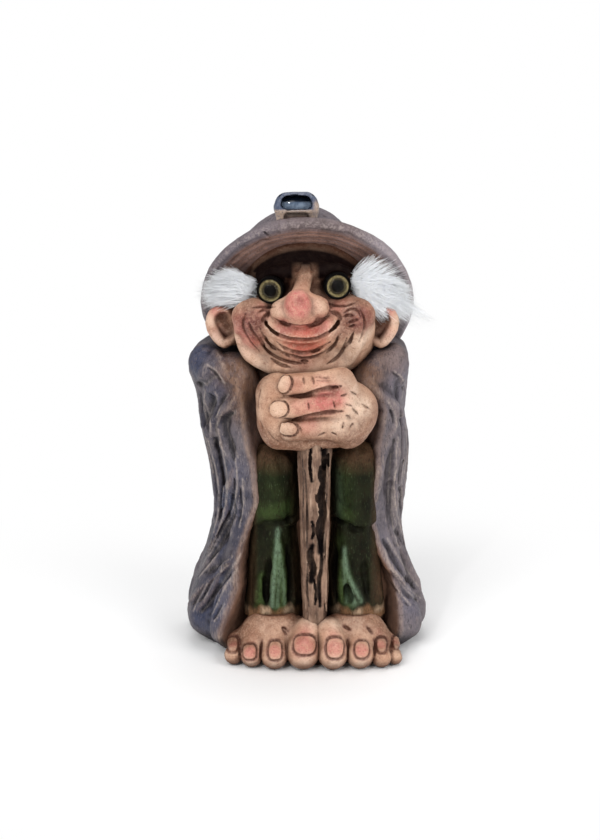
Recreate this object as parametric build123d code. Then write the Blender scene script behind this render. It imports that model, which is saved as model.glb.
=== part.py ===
from build123d import *
import os
from math import asin, atan2, cos, hypot, pi, radians, sin

# Norwegian troll figure: a cast, painted ornament with glass eyes and tufts of fur.
#
# Millimetres, +Z up. The figure faces -Y and stands on the floor at z = 0. Left and right are
# the viewer's, seen from the front. Each form is made whole, and a piece is then cut by the
# neighbours that it seats against, so that they meet face to face.

# Fits
glue_gap = 0.1  # between a peg or a set-in eye and its socket

# Cloak: heights, half widths, and the reach to the front and to the back
hem_height = 6.5
waist_height = 46.0
shoulder_height = 87.0
slope_height = 94.0
collar_height = 103.0
floor_half_width = 31.0
hem_half_width = 37.4
skirt_half_width = 32.1
waist_half_width = 29.5
chest_half_width = 31.7
shoulder_half_width = 33.5
slope_half_width = 31.6
collar_half_width = 15.5
chest_shift, shoulder_shift = -0.8, -2.6  # the left shoulder is hunched
floor_front, floor_back = 24.0, 28.0
hem_front, hem_back = 27.0, 31.0
waist_front, waist_back = 25.5, 26.0
shoulder_front, shoulder_back = 22.0, 27.0
slope_front, slope_back = 12.0, 24.0
collar_front, collar_back = 4.0, 17.0
fold_count, fine_fold_count = 11, 17
hem_fold_depth = 1.6
waist_fold_depth = 0.9
fine_fold_share = 0.45  # of the main folds' depth
fold_sway, fold_sway_height = 0.35, 17.0  # how the folds wander on their way up
fine_fold_start, fine_fold_lean = 1.3, 40.0
side_fold_share = 0.15  # the folds fade to this at both sides
side_fold_start, side_fold_gain = 0.1, 3.0  # from there they grow to the front and the back
outline_points = 44
cloak_squareness = 2.3  # 2 is an ellipse, more is squarer

# Opening: the front edges' reach to the left and right, at heights from the floor to the collar
opening_middle = 2.3
opening_heights = (0.0, 22.0, 43.0, 61.0, 77.0, 104.0)
opening_left = (30.3, 24.4, 19.7, 18.3, 21.8, 29.3)
opening_right = (28.7, 28.0, 16.7, 19.2, 24.4, 18.7)
lining_slant = (9.0, 6.0, 2.0, 4.0, 7.0, 8.0)  # at the back wall the lining lies further in by these
front_edge = -24.0
opening_back = -11.0  # the back wall, forward of the figure's middle

# Bare feet: toe radii from the big toe outwards
left_toe_radii = (5.2, 4.3, 3.5, 2.8)
right_toe_radii = (4.8, 4.4, 2.9, 2.0)
foot_parting = 3.2  # where the two big toes meet
toe_line = -32.4  # middle of the big toes' tips
toe_sweep = 2.2  # each toe stands this much further back than the last
toe_lift = 0.6  # the tips' middles stand above their radii by this
toe_length = 8.0
toe_splay = 0.5  # each toe's root lies nearer to the big toe by this
knuckle_lift = 1.2
toe_spread = 1.8  # spacing of the toes in radii
ankle_line = -14.0
ankle_height = 8.5
ankle_radius = 7.0

# Trouser legs
trouser_hem_height = 12.0
knee_height = 42.5
hands_above_trousers = 15.4  # from the top of the trousers up to the middle of the hands
leg_line = -15.5
left_leg_middle, right_leg_middle = -10.4, 14.0
leg_hem_half_width, leg_hem_half_depth = 9.8, 9.0
leg_shin_half_width, leg_shin_half_depth = 8.2, 7.6
leg_knee_half_width, leg_knee_half_depth = 7.2, 6.8
leg_top_half_width, leg_top_half_depth = 8.4, 7.6
knee_fold = 1.1  # the upper cloth hangs over the lower by this

# Staff, held upright under the folded hands
staff_middle = 2.0
staff_line = -25.0
staff_top_radius = 5.1
staff_foot_radius = 3.4
staff_grip = 4.5  # how far it goes up into the palm
staff_crack_width = 1.8
staff_crack_depth = 2.4
staff_crack_foot = 24.0
staff_crack_top = 62.0

# Folded hands
hand_height = 83.4
trouser_top = hand_height - hands_above_trousers
hand_line = -31.8
knuckle_middle = 9.6
finger_radius_top, finger_radius_mid, finger_radius_low = 3.6, 3.9, 3.7
finger_length_top, finger_length_mid, finger_length_low = 15.6, 18.0, 14.8
finger_pitch = 7.1
finger_taper = 0.4
finger_drop, finger_back = 1.2, 0.8  # the tips lie lower and further back by these
knuckle_swell = 0.5
wrist_reach = 3.8  # from the knuckles across to the wrist
wrist_depth, wrist_drop = 7.0, 3.6
wrist_radius = 6.2
wrist_pitch = 1.5  # the bones' wrist ends lie above one another by this
under_hand_middle = -8.8
under_hand_depth, under_hand_drop = 5.4, 6.8
under_hand_radius = 6.6
under_hand_length = 8.5
palm_radius = 4.8
palm_length = 17.0
palm_drop = 5.0  # the palm lies lower than the hand's middle by this

# Head
head_middle = -0.5
head_line = -8.0
head_lift = 19.0  # from the shoulders to the head's middle
skull_radius = 20.0
skull_back, skull_rise = 6.4, 5.0
jaw_radius = 12.6
jaw_half_length = 8.6
jaw_forward, jaw_drop = 2.0, 6.0
cheek_radius = 7.6
cheek_spread, cheek_forward, cheek_drop = 12.6, 10.4, 2.4
muzzle_radius, muzzle_half_length = 6.3, 5.6
muzzle_forward, muzzle_drop = 13.8, 1.0
chin_radius, chin_half_length = 5.0, 4.2
chin_forward, chin_drop = 12.2, 12.6
brow_radius = 2.6
brow_inner, brow_outer = 5.6, 13.4
brow_forward, brow_rise, brow_slope, brow_sweep = 12.6, 14.6, 1.6, 1.0
nose_radius, nose_bridge_radius, nostril_radius = 4.5, 2.4, 3.3
nose_shift = -2.4
nose_forward, nose_rise = 22.8, 5.7
nose_root_forward, nose_root_rise = 12.0, 13.8
nostril_spread, nostril_forward, nostril_rise = 5.4, 18.6, 4.9
mouth_half_width, mouth_radius = 13.0, 1.0
mouth_forward, mouth_corner_forward = 21.2, 14.6
mouth_drop, mouth_corner_rise = 4.9, 0.6
upper_lip_radius, upper_lip_rise = 2.2, 2.7
lower_lip_radius, lower_lip_drop = 2.2, 3.1
lip_inset = 1.6  # the lips' middles lie behind the mouth line by this
upper_lip_half_width, lower_lip_half_width = 11.4, 8.2
neck_peg_radius, neck_peg_length = 7.0, 15.0

# Ears
ear_top_radius, ear_lobe_radius = 4.8, 3.5
ear_length = 6.6
ear_lean = 1.8  # the top stands out further than the lobe
left_ear_spread, right_ear_spread = 24.4, 22.0
ear_forward, ear_drop = 3.4, 7.6
ear_wall = 2.0
ear_hollow_depth, ear_hollow_shift, ear_hollow_rise = 3.4, 1.0, 1.0

# Glass eyes
eye_diameter = 7.0
eye_dome_height = 2.5
eye_rim = 0.55  # the black cup shows this much round the glass
iris_thickness = 0.5
pupil_diameter = 3.4
eye_cup_depth = 2.4
eye_stem_diameter, eye_stem_length = 1.6, 5.0
eye_lid_radius = 5.4
eye_lid_forward = 3.4
eye_forward = 13.6
left_eye_spread, left_eye_rise = 10.6, 9.1
right_eye_spread, right_eye_rise = 9.2, 10.4
eye_turn = 9.0  # each looks outwards by this

# Miner's helmet
helmet_tilt = 60.0  # pushed back, so that the underside of the brim faces forward
helmet_shift, helmet_back, helmet_rise = 0.3, 9.5, 2.0
brim_radius, brim_thickness, brim_droop = 32.5, 4.2, 1.6
dome_radius, dome_rise = 24.3, 4.4

# Lamp on the brim
lamp_width, lamp_height, lamp_length = 12.8, 6.8, 13.0
lamp_corner = 2.8
lamp_wall = 1.5
lamp_recess = 3.2
lamp_lens_thickness = 1.2
lamp_shift, lamp_overhang, lamp_lift = -3.0, 2.8, 3.6
lamp_lean = 46.0  # back from the helmet's tilt
lamp_leg_width, lamp_leg_length, lamp_leg_reach = 2.2, 9.4, 7.5
lamp_leg_inset = 0.8  # behind the legs the block runs on by this

# Fur at the temples: where it grows, and the fan that it spreads into
fur_spread, fur_forward, fur_rise = 16.0, 7.6, 8.6
fur_root_height = 8.0
fur_thickness = 5.6
fur_back = 10.0  # the ends stand this much further back
left_fur_length, left_fur_height, left_fur_drop = 16.0, 17.0, 1.6
right_fur_length, right_fur_height, right_fur_drop = 18.5, 22.0, 6.0


def sausage(start, end, start_radius, end_radius):
    """Two balls and the cone that touches both, as one revolved solid."""
    start, end = Vector(*start), Vector(*end)
    length = (end - start).length
    slope = asin((start_radius - end_radius) / length)

    def rim(middle, radius, angle):
        return (radius * cos(angle), middle + radius * sin(angle))

    outline = [
        ThreePointArc(
            rim(0, start_radius, -pi / 2),
            rim(0, start_radius, (slope - pi / 2) / 2),
            rim(0, start_radius, slope),
        ),
        Line(rim(0, start_radius, slope), rim(length, end_radius, slope)),
        ThreePointArc(
            rim(length, end_radius, slope),
            rim(length, end_radius, (slope + pi / 2) / 2),
            rim(length, end_radius, pi / 2),
        ),
        Line((0, length + end_radius), (0, -start_radius)),
    ]
    body = revolve(Plane.XZ * make_face(outline), Axis.Z)
    return Plane(origin=start, z_dir=end - start) * body


def arc_bar(start, middle, end, radius):
    """A round bar along the arc through three points, with ball ends."""
    path = ThreePointArc(start, middle, end)
    bar = sweep(Plane(origin=path @ 0, z_dir=path % 0) * Circle(radius), path)
    return bar + [Pos(*(path @ share)) * Sphere(radius) for share in (0, 1)]


def step(place, x=0.0, y=0.0, z=0.0):
    """The place that lies this far from another."""
    return (place[0] + x, place[1] + y, place[2] + z)


def fit(form, *neighbours, within=None):
    """The form's one solid, less what its neighbours fill, and inside a given space."""
    left = form if within is None else form & within
    for neighbour in neighbours:
        left = left - neighbour
    return max(left.solids(), key=lambda solid: solid.volume)


# Cloak


def fold_height(height, fold, across, ahead):
    """How far the folds stand out, at a place given in shares of the half width and reach."""
    angle = atan2(ahead, across)
    main = cos(fold_count * angle + fold_sway * sin(height / fold_sway_height))
    fine = cos(fine_fold_count * angle + fine_fold_start + height / fine_fold_lean)
    grown = side_fold_gain * (abs(ahead) - side_fold_start)
    fade = min(max(grown, side_fold_share), 1)
    return fold * fade * (main + fine_fold_share * fine)


def cloak_outline(height, half_width, front, back, shift, fold):
    """A level outline with soft folds in front and behind."""
    points = []
    power = 2 / cloak_squareness
    for number in range(outline_points):
        angle = 2 * pi * (number + 0.5) / outline_points
        across = abs(cos(angle)) ** power * (1 if cos(angle) > 0 else -1)
        ahead = abs(sin(angle)) ** power * (1 if sin(angle) > 0 else -1)
        x = half_width * across
        y = (back if ahead > 0 else front) * ahead
        stretch = 1 + fold_height(height, fold, across, ahead) / hypot(x, y)
        points.append(Vector(shift + x * stretch, y * stretch, height))
    even = [number / outline_points for number in range(outline_points + 1)]
    return make_face(Edge.make_spline(points, periodic=True, parameters=even))


def cloak_form():
    """The whole draped mass, before anything is let into it."""
    rows = [
        (0, floor_half_width, floor_front, floor_back, 0, hem_fold_depth),
        (hem_height, hem_half_width, hem_front, hem_back, 0, hem_fold_depth),
        (
            (hem_height + waist_height) / 2,
            skirt_half_width,
            (hem_front + waist_front) / 2,
            (hem_back + waist_back) / 2,
            0,
            (hem_fold_depth + waist_fold_depth) / 2,
        ),
        (waist_height, waist_half_width, waist_front, waist_back, 0, waist_fold_depth),
        (
            (waist_height + shoulder_height) / 2,
            chest_half_width,
            waist_front,
            waist_back,
            chest_shift,
            waist_fold_depth / 2,
        ),
        (shoulder_height, shoulder_half_width, shoulder_front, shoulder_back, shoulder_shift, 0),
        (slope_height, slope_half_width, slope_front, slope_back, shoulder_shift, 0),
        (collar_height, collar_half_width, collar_front, collar_back, 0, 0),
    ]
    return loft([cloak_outline(*row) for row in rows])


def opening_form():
    """The space that the cloak's open front leaves, wider in front than at the back wall."""

    def outline(forward):
        share = 1 - forward / (opening_back - front_edge)

        def edge(side, reaches):
            points = []
            for height, reach, slant in zip(opening_heights, reaches, lining_slant):
                points.append((opening_middle + side * (reach - share * slant), height))
            return Spline(points)

        left, right = edge(-1, opening_left), edge(1, opening_right)
        face = make_face([left, Line(left @ 1, right @ 1), right, Line(left @ 0, right @ 0)])
        return Plane.XZ.offset(forward - opening_back) * face

    return loft([outline(0), outline(2 * hem_front)], ruled=True)


# Feet and legs


def foot_form(radii, side, leg_middle):
    """A bare foot: toes in a row and the bones behind them, flat below and under the trousers."""
    ankle = (leg_middle, ankle_line, ankle_height)
    bones = []
    inner = foot_parting
    for number, radius in enumerate(radii):
        tip = (inner + side * radius, toe_line + toe_sweep * number, radius + toe_lift)
        knuckle = step(tip, -side * toe_splay * number, toe_length, knuckle_lift)
        bones.append(sausage(tip, knuckle, radius, radius + knuckle_swell))
        bones.append(sausage(knuckle, ankle, radius + knuckle_swell, ankle_radius))
        inner += side * toe_spread * radius
    slab = Box(
        4 * hem_half_width,
        4 * hem_half_width,
        trouser_hem_height,
        align=(Align.CENTER, Align.CENTER, Align.MIN),
    )
    return (bones[0] + bones[1:]) & slab


def leg_form(middle):
    """A trouser leg that flares to its hem, its upper cloth hung over the knee."""

    def outline(height, half_width, half_depth):
        return Pos(middle, leg_line, height) * Ellipse(half_width, half_depth)

    shin = (trouser_hem_height + knee_height) / 2
    lower = loft(
        [
            outline(trouser_hem_height, leg_hem_half_width, leg_hem_half_depth),
            outline(shin, leg_shin_half_width, leg_shin_half_depth),
            outline(knee_height, leg_knee_half_width, leg_knee_half_depth),
        ]
    )
    upper = loft(
        [
            outline(knee_height, leg_knee_half_width + knee_fold, leg_knee_half_depth + knee_fold),
            outline(trouser_top, leg_top_half_width, leg_top_half_depth),
        ]
    )
    return lower + upper


# Staff and hands


def staff_form():
    """A rough tapered staff with the drying crack down its front."""
    top = hand_height - under_hand_drop - palm_drop - palm_radius + staff_grip
    body = Pos(staff_middle, staff_line, 0) * Cone(
        staff_foot_radius,
        staff_top_radius,
        top,
        align=(Align.CENTER, Align.CENTER, Align.MIN),
    )
    crack = Pos(staff_middle, staff_line - staff_top_radius, staff_crack_foot) * Box(
        staff_crack_width,
        2 * staff_crack_depth,
        staff_crack_top - staff_crack_foot,
        align=(Align.CENTER, Align.CENTER, Align.MIN),
    )
    return body - crack


def upper_hand_form():
    """The hand on top: a fan of bones from the wrist, and three fingers laid to the left."""
    wrist = (knuckle_middle + wrist_reach, hand_line + wrist_depth, hand_height - wrist_drop)
    fingers = (
        (finger_radius_top, finger_length_top, 1),
        (finger_radius_mid, finger_length_mid, 0),
        (finger_radius_low, finger_length_low, -1),
    )
    bones = []
    for radius, length, row in fingers:
        knuckle = (knuckle_middle, hand_line, hand_height + row * finger_pitch)
        tip = step(knuckle, -length, finger_back, -finger_drop)
        bone_root = step(wrist, 0, 0, row * wrist_pitch)
        bones.append(sausage(knuckle, tip, radius + knuckle_swell, radius - finger_taper))
        bones.append(sausage(bone_root, knuckle, wrist_radius, radius))
    return bones[0] + bones[1:]


def under_hand_form():
    """The hand beneath: its outer edge, and the palm that lies on the staff."""
    low = (under_hand_middle, hand_line + under_hand_depth, hand_height - under_hand_drop)
    edge = sausage(low, step(low, 0, 0, under_hand_length), under_hand_radius, under_hand_radius)
    heel = step(low, 0, 0, -palm_drop)
    return edge + sausage(heel, step(heel, palm_length), palm_radius, palm_radius)


# Head

head = (head_middle, head_line, shoulder_height + head_lift)


def head_form():
    """Skull, jaw and the main forms of the grinning face."""
    nose_tip = step(head, nose_shift, -nose_forward, nose_rise)
    jaw = step(head, 0, -jaw_forward, -jaw_drop)
    muzzle = step(head, 0, -muzzle_forward, -muzzle_drop)
    chin = step(head, 0, -chin_forward, -chin_drop)
    masses = [
        sausage(
            step(jaw, -jaw_half_length), step(jaw, jaw_half_length), jaw_radius, jaw_radius
        ),
        sausage(
            step(muzzle, -muzzle_half_length),
            step(muzzle, muzzle_half_length),
            muzzle_radius,
            muzzle_radius,
        ),
        sausage(
            step(chin, -chin_half_length), step(chin, chin_half_length), chin_radius, chin_radius
        ),
        sausage(
            nose_tip,
            step(head, 0, -nose_root_forward, nose_root_rise),
            nose_radius,
            nose_bridge_radius,
        ),
    ]
    for side in (-1, 1):
        cheek = step(head, side * cheek_spread, -cheek_forward, -cheek_drop)
        inner = step(head, side * brow_inner, -brow_forward, brow_rise)
        outer = step(
            head, side * brow_outer, brow_sweep - brow_forward, brow_rise - brow_slope
        )
        nostril = step(
            head, nose_shift + side * nostril_spread, -nostril_forward, nostril_rise
        )
        masses.append(Pos(*cheek) * Sphere(cheek_radius))
        masses.append(sausage(inner, outer, brow_radius, brow_radius))
        masses.append(Pos(*nostril) * Sphere(nostril_radius))

    def across_mouth(rise, inset, half_width, radius):
        corner_rise, corner_forward = mouth_corner_rise + rise, mouth_corner_forward - inset
        return arc_bar(
            step(head, -half_width, -corner_forward, corner_rise),
            step(head, 0, inset - mouth_forward, rise - mouth_drop),
            step(head, half_width, -corner_forward, corner_rise),
            radius,
        )

    masses.append(
        across_mouth(upper_lip_rise, lip_inset, upper_lip_half_width, upper_lip_radius)
    )
    masses.append(
        across_mouth(-lower_lip_drop, lip_inset, lower_lip_half_width, lower_lip_radius)
    )
    skull = Pos(*step(head, 0, skull_back, skull_rise)) * Sphere(skull_radius)
    face = skull + masses
    for _, place, _ in eyes:
        face = face - Pos(*step(place, 0, -eye_lid_forward)) * Sphere(eye_lid_radius)
    return face - across_mouth(0, 0, mouth_half_width, mouth_radius)


def neck_peg(gap=0.0):
    """The peg under the skull that the cloak's socket takes."""
    length = skull_radius + neck_peg_length + gap
    return Pos(*step(head, 0, skull_back, skull_rise)) * Cylinder(
        neck_peg_radius + gap, length, align=(Align.CENTER, Align.CENTER, Align.MAX)
    )


def ear_form(side, spread):
    """A cupped ear. side is -1 on the left, 1 on the right."""
    lobe = step(head, side * spread, -ear_forward, -ear_drop)
    top = step(lobe, side * ear_lean, 0, ear_length)
    shell = sausage(lobe, top, ear_lobe_radius, ear_top_radius)
    hollow = sausage(
        step(lobe, -side * ear_hollow_shift, -ear_hollow_depth, ear_hollow_rise),
        step(top, -side * ear_hollow_shift, -ear_hollow_depth),
        ear_lobe_radius - ear_wall,
        ear_top_radius - ear_wall,
    )
    return shell - hollow


# Eyes, drawn at the origin with the iris level and looking up

eyes = (
    ("left", step(head, -left_eye_spread, -eye_forward, left_eye_rise), -eye_turn),
    ("right", step(head, right_eye_spread, -eye_forward, right_eye_rise), eye_turn),
)
upwards = (Align.CENTER, Align.CENTER, Align.MIN)
downwards = (Align.CENTER, Align.CENTER, Align.MAX)


def eye_place(place, turn):
    """Looks forward, turned a little outwards."""
    return Plane(origin=place, z_dir=(sin(radians(turn)), -cos(radians(turn)), 0))


def eye_glass_form():
    """The clear dome, flat behind."""
    radius = eye_diameter / 2
    ball = (radius**2 + eye_dome_height**2) / (2 * eye_dome_height)
    dome = Pos(0, 0, eye_dome_height - ball) * Sphere(ball)
    return dome & Cylinder(eye_diameter, eye_diameter, align=upwards)


def eye_iris_form():
    """The ring of gold foil behind the glass."""
    disc = Cylinder(eye_diameter / 2, iris_thickness, align=downwards)
    return disc - Cylinder(pupil_diameter / 2, iris_thickness, align=downwards)


def eye_cup_form(gap=0.0):
    """The black cup: its rim shows round the glass, its boss is the pupil, its stem is glued in."""
    cup = Cylinder(eye_diameter / 2 + eye_rim + gap, eye_cup_depth + gap, align=downwards)
    stem = Cylinder(
        eye_stem_diameter / 2 + gap, eye_cup_depth + eye_stem_length + gap, align=downwards
    )
    return cup + stem


# Helmet and lamp

helmet_place = Pos(*step(head, helmet_shift, helmet_back, helmet_rise)) * Rot(-helmet_tilt, 0, 0)
lamp_place = (
    helmet_place
    * Pos(lamp_shift, -brim_radius - lamp_overhang, lamp_lift)
    * Rot(lamp_lean, 0, 0)
)


def helmet_form():
    """Dome and brim, turned about the helmet's own axis."""
    half = brim_thickness / 2
    edge = brim_radius - half
    spring = half + dome_rise
    outline = [
        Line((0, -half), (dome_radius, -half)),
        Line((dome_radius, -half), (edge, -half - brim_droop)),
        ThreePointArc(
            (edge, -half - brim_droop), (brim_radius, -brim_droop), (edge, half - brim_droop)
        ),
        Line((edge, half - brim_droop), (dome_radius, half)),
        Line((dome_radius, half), (dome_radius, spring)),
        ThreePointArc(
            (dome_radius, spring),
            (dome_radius * cos(pi / 4), spring + dome_radius * sin(pi / 4)),
            (0, spring + dome_radius),
        ),
        Line((0, spring + dome_radius), (0, -half)),
    ]
    return helmet_place * revolve(Plane.XZ * make_face(outline), Axis.Z)


def lamp_block(shrink, length):
    """A rounded block that runs back from the lamp's face."""
    outline = RectangleRounded(
        lamp_width - 2 * shrink, lamp_height - 2 * shrink, lamp_corner - shrink
    )
    return extrude(Rot(90, 0, 0) * outline, length, dir=(0, 1, 0))


def lamp_housing_form():
    """The lamp's block with its recessed face, on two short legs."""
    body = lamp_block(0, lamp_length) - lamp_block(lamp_wall, lamp_recess + lamp_lens_thickness)
    leg_x = (lamp_width - lamp_leg_width) / 2 - lamp_wall / 2
    leg_place = Pos(0, lamp_length - lamp_leg_reach - lamp_leg_inset, 0)
    for side in (-1, 1):
        leg = Box(
            lamp_leg_width,
            lamp_leg_reach,
            lamp_leg_length,
            align=(Align.CENTER, Align.MIN, Align.MAX),
        )
        body = body + leg_place * Pos(side * leg_x, 0, 0) * leg
    return lamp_place * body


def lamp_lens_form():
    """The glass at the bottom of the lamp's recess."""
    return lamp_place * Pos(0, lamp_recess, 0) * lamp_block(lamp_wall, lamp_lens_thickness)


# Fur


def fur_form(side, length, end_height, drop):
    """The fan that a tuft of fur fills. side is -1 on the left, 1 on the right."""
    root = Vector(*step(head, side * fur_spread, -fur_forward, fur_rise))
    way = Vector(side * length, fur_back, -drop)
    outlines = []
    for share in (0, 0.5, 1):
        height = fur_root_height + (end_height - fur_root_height) * share
        plane = Plane(origin=root + way * share, x_dir=(0, 0, 1), z_dir=way)
        outlines.append(plane * Ellipse(height / 2, fur_thickness / 2))
    return loft(outlines)


def build():
    """Every piece by its node's name."""
    face = head_form()
    helmet = helmet_form()
    opening = opening_form()
    staff = staff_form()
    upper_hand = upper_hand_form()
    left_foot = foot_form(left_toe_radii, -1, left_leg_middle)
    right_foot = foot_form(right_toe_radii, 1, right_leg_middle)
    left_leg, right_leg = leg_form(left_leg_middle), leg_form(right_leg_middle)
    cloak = fit(cloak_form(), opening, helmet, face, neck_peg(glue_gap))
    left_ear = fit(ear_form(-1, left_ear_spread), face, helmet, cloak)
    right_ear = fit(ear_form(1, right_ear_spread), face, helmet, cloak)
    left_fur = fur_form(-1, left_fur_length, left_fur_height, left_fur_drop)
    right_fur = fur_form(1, right_fur_length, right_fur_height, right_fur_drop)

    pieces = {
        "cloak": cloak,
        "staff": fit(staff),
        "left_foot": fit(left_foot, staff, within=opening),
        "right_foot": fit(right_foot, left_foot, staff, within=opening),
        "left_trouser_leg": fit(left_leg, left_foot, right_foot, staff, within=opening),
        "right_trouser_leg": fit(right_leg, left_leg, left_foot, right_foot, staff, within=opening),
        "upper_hand": fit(upper_hand, staff, face, within=opening),
        "under_hand": fit(under_hand_form(), upper_hand, staff, face, within=opening),
        "left_ear": left_ear,
        "right_ear": right_ear,
        "helmet": fit(helmet, face, neck_peg()),
        "lamp_housing": fit(lamp_housing_form(), helmet),
        "lamp_lens": fit(lamp_lens_form()),
        "left_fur": fit(left_fur, face, helmet, left_ear),
        "right_fur": fit(right_fur, face, helmet, right_ear),
    }
    skull = face + neck_peg()
    for side, place, turn in eyes:
        socket = eye_place(place, turn)
        skull = skull - socket * eye_cup_form(glue_gap)
        pieces[f"{side}_eye_glass"] = fit(socket * eye_glass_form())
        pieces[f"{side}_eye_iris"] = fit(socket * eye_iris_form())
        pieces[f"{side}_eye_cup"] = fit(socket * eye_cup_form(), socket * eye_iris_form())
    pieces["head"] = fit(skull)
    return pieces


os.makedirs("parts", exist_ok=True)
for node, piece in build().items():
    export_step(piece, f"parts/{node}.step")
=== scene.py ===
import math

import bpy
import numpy as np
import openvdb
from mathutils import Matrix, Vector


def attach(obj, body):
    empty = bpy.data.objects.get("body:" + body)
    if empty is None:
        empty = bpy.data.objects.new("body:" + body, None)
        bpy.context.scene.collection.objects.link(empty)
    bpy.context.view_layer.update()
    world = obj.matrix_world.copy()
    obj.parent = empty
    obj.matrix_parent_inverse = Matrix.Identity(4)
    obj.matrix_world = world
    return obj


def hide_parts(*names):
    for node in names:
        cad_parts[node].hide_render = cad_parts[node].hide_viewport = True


# Norwegian troll figure: the painted castings, modelled like clay on fine grids.
# Shapes are in millimetres in the part's own frame and become metres when they are meshed.
# Left and right are the viewer's, seen from the front. Pixels are those of the photograph.

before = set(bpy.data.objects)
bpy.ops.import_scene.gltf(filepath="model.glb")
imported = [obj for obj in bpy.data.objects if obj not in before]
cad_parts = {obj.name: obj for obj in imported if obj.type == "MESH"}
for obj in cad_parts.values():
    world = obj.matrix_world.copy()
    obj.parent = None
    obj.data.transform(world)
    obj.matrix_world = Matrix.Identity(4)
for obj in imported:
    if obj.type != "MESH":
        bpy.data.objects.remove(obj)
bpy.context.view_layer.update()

MM = 0.001
FAR = 6.0  # distances are kept no further than this from a surface
SIDES = {"left": -1, "right": 1}

# Camera: where the photograph was taken from, so that strokes can be given in its pixels

IMAGE_WIDTH, IMAGE_HEIGHT = 600, 840
FOCAL_PIXELS = 1935.0
CAMERA_DISTANCE = 600.0
CAMERA_ELEVATION = math.radians(15.0)
CAMERA_TARGET = np.array((0.0, 0.0, 70.0))
IMAGE_MIDDLE = (308.0, 420.0)
SENSOR = 36.0
AHEAD = np.array((0.0, math.cos(CAMERA_ELEVATION), -math.sin(CAMERA_ELEVATION)))
UPWARD = np.array((0.0, math.sin(CAMERA_ELEVATION), math.cos(CAMERA_ELEVATION)))
ACROSS = np.array((1.0, 0.0, 0.0))
LENS_POINT = CAMERA_TARGET - CAMERA_DISTANCE * AHEAD


def make_camera():
    data = bpy.data.cameras.new("camera")
    data.sensor_width = SENSOR
    data.lens = FOCAL_PIXELS * SENSOR / IMAGE_HEIGHT
    data.shift_x = (IMAGE_WIDTH / 2 - IMAGE_MIDDLE[0]) / IMAGE_HEIGHT
    data.shift_y = (IMAGE_MIDDLE[1] - IMAGE_HEIGHT / 2) / IMAGE_HEIGHT
    data.clip_start = 0.01
    camera = bpy.data.objects.new("camera", data)
    camera.location = Vector(LENS_POINT * MM)
    camera.rotation_euler = (math.pi / 2 - CAMERA_ELEVATION, 0, 0)
    bpy.context.collection.objects.link(camera)
    bpy.context.scene.camera = camera


def sight(u, v):
    """The direction from the lens through a pixel."""
    ray = AHEAD * FOCAL_PIXELS + ACROSS * (u - IMAGE_MIDDLE[0]) - UPWARD * (v - IMAGE_MIDDLE[1])
    return ray / np.linalg.norm(ray)


def spot(u, v, y):
    """The place at depth y that shows at a pixel."""
    ray = sight(u, v)
    return LENS_POINT + ray * (y - LENS_POINT[1]) / ray[1]


def curve(points, gap=1.2):
    """A smooth line through points, with a new point about every gap."""
    points = [np.array(point, float) for point in points]
    padded = [2 * points[0] - points[1]] + points + [2 * points[-1] - points[-2]]
    line = []
    for a, b, c, d in zip(padded, padded[1:], padded[2:], padded[3:]):
        count = max(1, int(np.linalg.norm(c - b) / gap))
        for t in np.arange(count) / count:
            line.append(
                0.5 * (2 * b + (c - a) * t + (2 * a - 5 * b + 4 * c - d) * t**2
                       + (3 * b - a - 3 * c + d) * t**3)
            )
    line.append(points[-1])
    return np.array(line)


def oval(u, v, half_width, half_height, tilt=0.0, square=2.0, count=44):
    """A closed line of pixels, squarer than an ellipse where square is over 2."""
    angles = 2 * math.pi * np.arange(count + 1) / count
    x = np.sign(np.cos(angles)) * np.abs(np.cos(angles)) ** (2 / square) * half_width
    y = np.sign(np.sin(angles)) * np.abs(np.sin(angles)) ** (2 / square) * half_height
    turn = math.radians(tilt)
    return np.stack(
        (u + x * math.cos(turn) - y * math.sin(turn), v + x * math.sin(turn) + y * math.cos(turn)), 1
    )


def unit(value):
    """A value held between 0 and 1."""
    return np.clip(value, 0, 1)


def most(*masks):
    """The largest of several masks at each point."""
    return np.maximum.reduce(masks)


# Clay

ROPE_MARGIN = 2.0  # how far beyond a rope its distances are worked out
TAPER_RATE, TAPER_END = 4, 0.15  # how fast a stroke swells, and its share of the width at the ends
INK_LEVEL = 0.6  # the share of a groove's depth at which its ink lies
MESH_BAND = 3  # cells to each side of the surface that the mesher sees
BEND_PASSES = 10  # passes of blur against which hollow and proud places are found


def soft_min(a, b, soft):
    if soft <= 0:
        return np.minimum(a, b)
    share = np.clip(0.5 + 0.5 * (b - a) / soft, 0, 1)
    return b + (a - b) * share - soft * share * (1 - share)


def soft_max(a, b, soft):
    return -soft_min(-a, -b, soft)


def turned(degrees):
    """A matrix for turns about x, y and z, in that order."""
    x, y, z = (math.radians(value) for value in degrees)
    about_x = np.array([[1, 0, 0], [0, math.cos(x), -math.sin(x)], [0, math.sin(x), math.cos(x)]])
    about_y = np.array([[math.cos(y), 0, math.sin(y)], [0, 1, 0], [-math.sin(y), 0, math.cos(y)]])
    about_z = np.array([[math.cos(z), -math.sin(z), 0], [math.sin(z), math.cos(z), 0], [0, 0, 1]])
    return about_z @ about_y @ about_x


def local(axes, place, matrix):
    """Grid axes as seen from a place turned by a matrix."""
    offset = (axes[0] - place[0], axes[1] - place[1], axes[2] - place[2])
    return [sum(matrix[n][k] * offset[n] for n in range(3)) for k in range(3)]


def blur(field, passes):
    for _ in range(passes):
        for axis in range(3):
            field = np.swapaxes(field, 0, axis)
            wide = field.copy()
            wide[1:-1] = (field[:-2] + 2 * field[1:-1] + field[2:]) / 4
            field = np.swapaxes(wide, 0, axis)
    return field


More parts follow.
